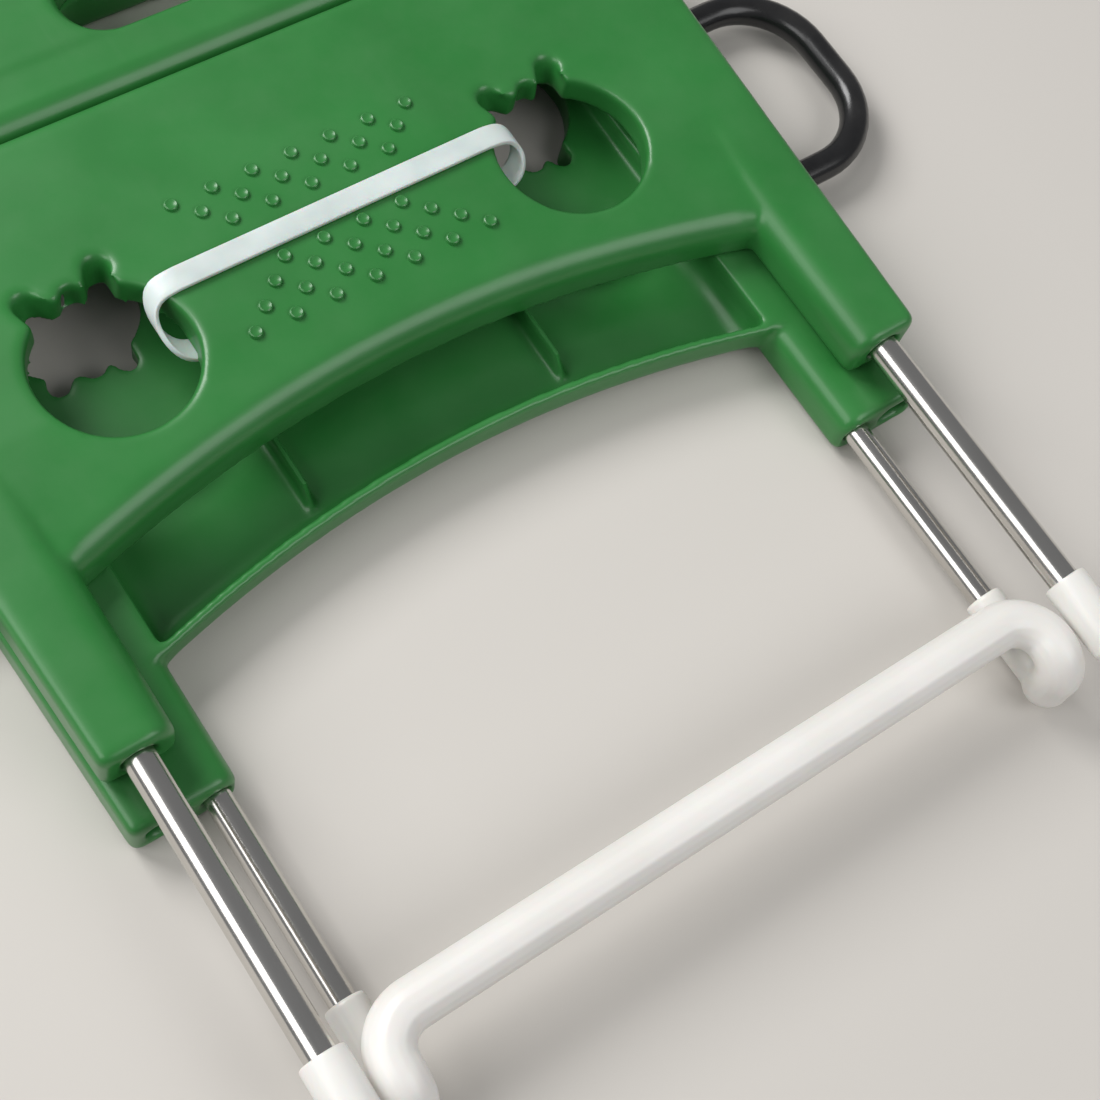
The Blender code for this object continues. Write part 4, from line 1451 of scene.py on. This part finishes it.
@dataclass
class CarryStrap:
    """The flat nylon band round the web between the upper cut-outs."""

    shop: Workshop
    thick: float = 0.0016
    edge_round: float = 0.00045
    left_end: float = 0.0500
    right_end: float = 0.0530
    end_reach: float = 0.0120
    left_lean: float = 0.0170
    right_lean: float = 0.0095
    steps: int = 24

    def path(self) -> Outline:
        """The closed middle line of the band in x and z."""
        low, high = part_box("carry_strap")
        tall = (high.z - low.z - self.thick) / 2
        middle = (high.z + low.z) / 2
        points = []
        for end, first in ((self.right_end, -math.pi / 2), (-self.left_end, math.pi / 2)):
            side = math.copysign(1.0, end)
            for step in range(self.steps + 1):
                angle = first + math.pi * step / self.steps
                points.append((end + self.end_reach * math.cos(angle), middle + tall * math.sin(angle)))
            for step in range(1, self.steps):
                share = step / self.steps
                across = self.right_end + self.left_end
                points.append((end - side * across * share, middle + side * tall))
        return points

    def lean(self, place: Vector, low: Vector, high: Vector) -> float:
        """How far the band has slid towards the feet at a place.

        Args:
            place: the place on the band.
            low: the band's lowest corner.
            high: its highest corner.

        Returns:
            The distance, as a change of y.
        """
        fall = min(max((high.z - self.thick - place.z) / (high.z - low.z - self.thick), 0.0), 1.0)
        right = min(max((place.x + self.left_end) / (self.left_end + self.right_end), 0.0), 1.0)
        full = self.left_lean * (1.0 - right) + self.right_lean * right
        return -full * fall * fall * (3.0 - 2.0 * fall)

    def build(self) -> None:
        """Build the strap and hand it in."""
        low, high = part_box("carry_strap")
        path = self.path()
        deselect()
        bpy.ops.mesh.primitive_grid_add(x_subdivisions=len(path), y_subdivisions=4, size=1.0)
        band = settle("carry_strap")
        middle = (high.y + low.y) / 2
        for vertex in band.data.vertices:
            x, z = path[round((vertex.co.x + 0.5) * len(path)) % len(path)]
            place = Vector((x, middle + (high.y - low.y) * vertex.co.y, z))
            place.y += self.lean(place, low, high)
            vertex.co = place
        face_out(band, SEAM)
        modify(band, "SOLIDIFY", thickness=self.thick, offset=0.0)
        soften(band, self.edge_round, 3)
        face_out(band)
        self.shop.hand_in(band, "nylon_carry_strap", "upper_leg_frame", "strap_nylon", "carry_strap")


@dataclass
class SideLoop:
    """A black loop on one side of the lower leg panel."""

    shop: Workshop
    hand: Hand
    radius: float = 0.0050
    bend: float = 0.026
    steps: int = 12

    def build(self) -> None:
        """Build the loop and hand it in."""
        node = f"side_loop_{self.hand.word}"
        low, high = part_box(node)
        side = float(self.hand.value)
        inner = low.x if side > 0 else high.x
        outer = (high.x if side > 0 else low.x) - side * self.radius
        middle_z = (low.z + high.z) / 2
        first, last = low.y + self.radius, high.y - self.radius
        quarter = math.pi / 2
        corners = arc((abs(outer) - self.bend, first + self.bend), self.bend, -quarter, 0.0, self.steps)
        corners += arc((abs(outer) - self.bend, last - self.bend), self.bend, 0.0, quarter, self.steps)
        points = [(inner, first, middle_z)] + [(side * x, y, middle_z) for x, y in corners]
        points.append((inner, last, middle_z))
        loop = bent_bar(node, points, self.radius)
        self.shop.hand_in(loop, f"gloss_{node}", "lower_leg_frame", "black_moulding", node)


# ---- small hardware -------------------------------------------------------------

@dataclass
class Hardware:
    """Hinge rod caps and screws."""

    shop: Workshop
    crown: float = 0.65
    cross_width: float = 0.0007
    cross_depth: float = 0.0008
    head_height: float = 0.0014
    shank_share: float = 0.43
    shank_lead: float = 0.0006

    def cap(self, node: str, body: str, side: float) -> None:
        """Build one domed rod cap and hand it in.

        Args:
            node: the node that it stands for.
            body: the body that it rides on.
            side: the way it looks along x.
        """
        low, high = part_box(node)
        radius = (high.z - low.z) / 2
        depth = high.x - low.x
        start = (low.x if side > 0 else high.x, (low.y + high.y) / 2, (low.z + high.z) / 2)
        profile = [(0.0, depth), (radius * 0.35, depth * 0.985), (radius * 0.62, depth * 0.90),
                   (radius * 0.85, depth * 0.72), (radius * 0.97, depth * 0.48), (radius, depth * 0.30),
                   (radius, 0.0), (radius * 0.7, 0.0), (radius * 0.7, depth * 0.3), (0.0, depth * 0.3)]
        cap = turned(node, profile, start, (side, 0.0, 0.0), 40)
        self.shop.hand_in(cap, f"domed_{node}", body, "black_moulding", node)

    def screw(self, node: str, body: str, up: float) -> None:
        """Build one pan head screw with a cross recess and hand it in.

        Args:
            node: the node that it stands for.
            body: the body that it rides on.
            up: the way its head looks along z.
        """
        low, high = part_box(node)
        radius = (high.x - low.x) / 2
        x, y = (low.x + high.x) / 2, (low.y + high.y) / 2
        length = high.z - low.z
        head = length - self.head_height
        shank = radius * self.shank_share
        foot = low.z if up > 0 else high.z
        profile = [(0.0, length), (radius * 0.55, length - 0.00010), (radius * 0.82, length - 0.00035),
                   (radius * 0.97, length - 0.00075), (radius, length - 0.0010), (radius * 0.97, head),
                   (shank, head), (shank, self.shank_lead), (0.0004, 0.0), (0.0, 0.0)]
        made = turned(node, profile, (x, y, foot), (0.0, 0.0, up), 32)
        top = foot + up * length
        reach, half = radius * self.crown, self.cross_width / 2
        levels = sorted((top - up * self.cross_depth, top + up * PAST))
        for wide, deep in ((reach, half), (half, reach)):
            carve(made, block("cross", (x - wide, y - deep, levels[0]), (x + wide, y + deep, levels[1])))
        self.shop.hand_in(made, f"cross_{node}", body, "screw_steel", node)

    def build(self) -> None:
        """Build every cap and screw."""
        for hand in Hand:
            side = float(hand.value)
            self.cap(f"centre_hinge_cap_{hand.word}", "lower_seat_half", side)
            for layer in Layer:
                body = f"{layer.word}_leg_frame"
                self.cap(f"leg_hinge_cap_{layer.word}_{hand.word}", body, side)
                self.screw(f"tube_screw_{layer.word}_{hand.word}", body, -float(layer.value))
            for end in ("front", "rear"):
                self.screw(f"loop_screw_{hand.word}_{end}", "lower_leg_frame", 1.0)


# ---- studio ---------------------------------------------------------------------

@dataclass
class Studio:
    """The floor, the lamps and the camera."""

    floor_colour: Triple = (0.60, 0.57, 0.53)
    far_colour: Triple = (0.68, 0.66, 0.62)
    fade_start: float = 0.45
    fade_end: float = 1.60
    sky_strength: float = 0.22
    camera_place: Triple = (-0.19311, -0.22610, 0.51016)
    camera_turn: Triple = (24.061, -9.874, -34.147)
    lens_mm: float = 62.09
    sensor_mm: float = 36.0
    nearest: float = 0.01
    lamp_size: float = 0.8
    lamps: tuple = (("key", (-0.50, 1.10, 1.10), 23.0), ("front", (0.45, -0.85, 0.95), 6.0),
                    ("left", (-1.0, 0.1, 0.9), 6.0))

    def floor(self) -> None:
        """A plain pale floor just under the stool."""
        deselect()
        bpy.ops.mesh.primitive_grid_add(x_subdivisions=4, y_subdivisions=4, size=8.0,
                                        location=(0.0, 0.0, CAD_BOX[0].z - 0.0002))
        floor = settle("floor")
        material = bpy.data.materials.new("floor")
        material.use_nodes = True
        tree = material.node_tree
        shader = fill(tree.nodes["Principled BSDF"], Base_Color=(*self.floor_colour, 1.0), Roughness=0.85)
        place = add_node(tree, "ShaderNodeTexCoord")
        away = add_node(tree, "ShaderNodeVectorMath", operation="LENGTH")
        fade = add_node(tree, "ShaderNodeMapRange", interpolation_type="SMOOTHSTEP",
                        From_Min=self.fade_start, From_Max=self.fade_end)
        amount = calc(tree, "MULTIPLY", (fade, "Result"), (self.seen(tree), 0), clamp=True)
        glow = add_node(tree, "ShaderNodeEmission", Color=(*self.far_colour, 1.0))
        mix = add_node(tree, "ShaderNodeMixShader")
        wire(tree, (place, "Object", away, 0), (away, "Value", fade, "Value"), (amount, 0, mix, "Fac"),
             (shader, 0, mix, 1), (glow, 0, mix, 2), (mix, 0, tree.nodes["Material Output"], "Surface"))
        floor.data.materials.append(material)

    def seen(self, tree: Tree) -> Node:
        """A mask of the rays that show the background: to the camera, in gloss and through glass."""
        path = add_node(tree, "ShaderNodeLightPath")
        first = calc(tree, "ADD", (path, "Is Camera Ray"), (path, "Is Glossy Ray"), clamp=True)
        return calc(tree, "ADD", (first, 0), (path, "Is Transmission Ray"), clamp=True)

    def sky(self) -> None:
        """A dim even world that the camera sees as pale."""
        world = bpy.data.worlds.new("studio")
        world.use_nodes = True
        tree = world.node_tree
        dim = fill(tree.nodes["Background"], Color=(0.95, 0.97, 1.0, 1.0), Strength=self.sky_strength)
        pale = add_node(tree, "ShaderNodeBackground", Color=(*self.far_colour, 1.0), Strength=1.0)
        path = add_node(tree, "ShaderNodeLightPath")
        mix = add_node(tree, "ShaderNodeMixShader")
        wire(tree, (path, "Is Camera Ray", mix, "Fac"), (dim, 0, mix, 1), (pale, 0, mix, 2),
             (mix, 0, tree.nodes["World Output"], "Surface"))
        bpy.context.scene.world = world

    def lamp(self, name: str, place: Sequence[float], watts: float) -> None:
        """A soft square lamp that looks at the stool.

        Args:
            name: the lamp's name.
            place: where it hangs.
            watts: its power.
        """
        deselect()
        bpy.ops.object.light_add(type="AREA", location=place)
        lamp = bpy.context.object
        lamp.name = name
        lamp.data.size = self.lamp_size
        lamp.data.energy = watts
        lamp.rotation_euler = (-Vector(place)).to_track_quat("-Z", "Y").to_euler()

    def camera(self) -> None:
        """The camera at its viewing angle."""
        deselect()
        bpy.ops.object.camera_add(location=self.camera_place,
                                  rotation=[math.radians(angle) for angle in self.camera_turn])
        camera = bpy.context.object
        camera.data.lens = self.lens_mm
        camera.data.sensor_width = self.sensor_mm
        camera.data.clip_start = self.nearest
        bpy.context.scene.camera = camera

    def build(self) -> None:
        """Set up the whole studio."""
        self.camera()
        self.floor()
        for lamp in self.lamps:
            self.lamp(*lamp)
        self.sky()
        bpy.context.scene.view_settings.view_transform = "Standard"


def dress_nodes(materials: dict[str, Material]) -> None:
    """Give every node of the frame the finish of its own slot.

    Args:
        materials: the finishes by slot.
    """
    for subpart in frame["record"]["subparts"]:
        node = frame["nodes"].get(subpart["node"])
        if node is not None:
            node.data.materials.clear()
            node.data.materials.append(materials[subpart["material_slot"]])


def main() -> None:
    """Build the studio and every piece of the stool."""
    Studio().build()
    effects = Effects()
    materials = {slot: finish.build(effects) for slot, finish in FINISHES.items()}
    dress_nodes(materials)
    shop = Workshop(Places.read(), materials)
    upper = UpperLegPanel(shop, Layer.UPPER, arch_corner=0.1385, arch_rise=0.0175, sleeve_inner=0.1165,
                          mouth_half_width=0.139, hole_y=0.0876)
    upper.build()
    upper.dots()
    LowerLegPanel(shop, Layer.LOWER, arch_corner=0.1655, arch_rise=0.0150, sleeve_inner=0.1068,
                  mouth_half_width=0.139, hole_y=0.0520, sleeve_round=0.0050, inner_round=0.0068,
                  collar_wall=0.014, land_shift=0.031, land_radius=0.0330).build()
    for layer in Layer:
        SeatHalf(shop, layer).build()
    Legs(shop).build()
    CarryStrap(shop).build()
    for hand in Hand:
        SideLoop(shop, hand).build()
    Hardware(shop).build()


if __name__ == "__main__":
    main()
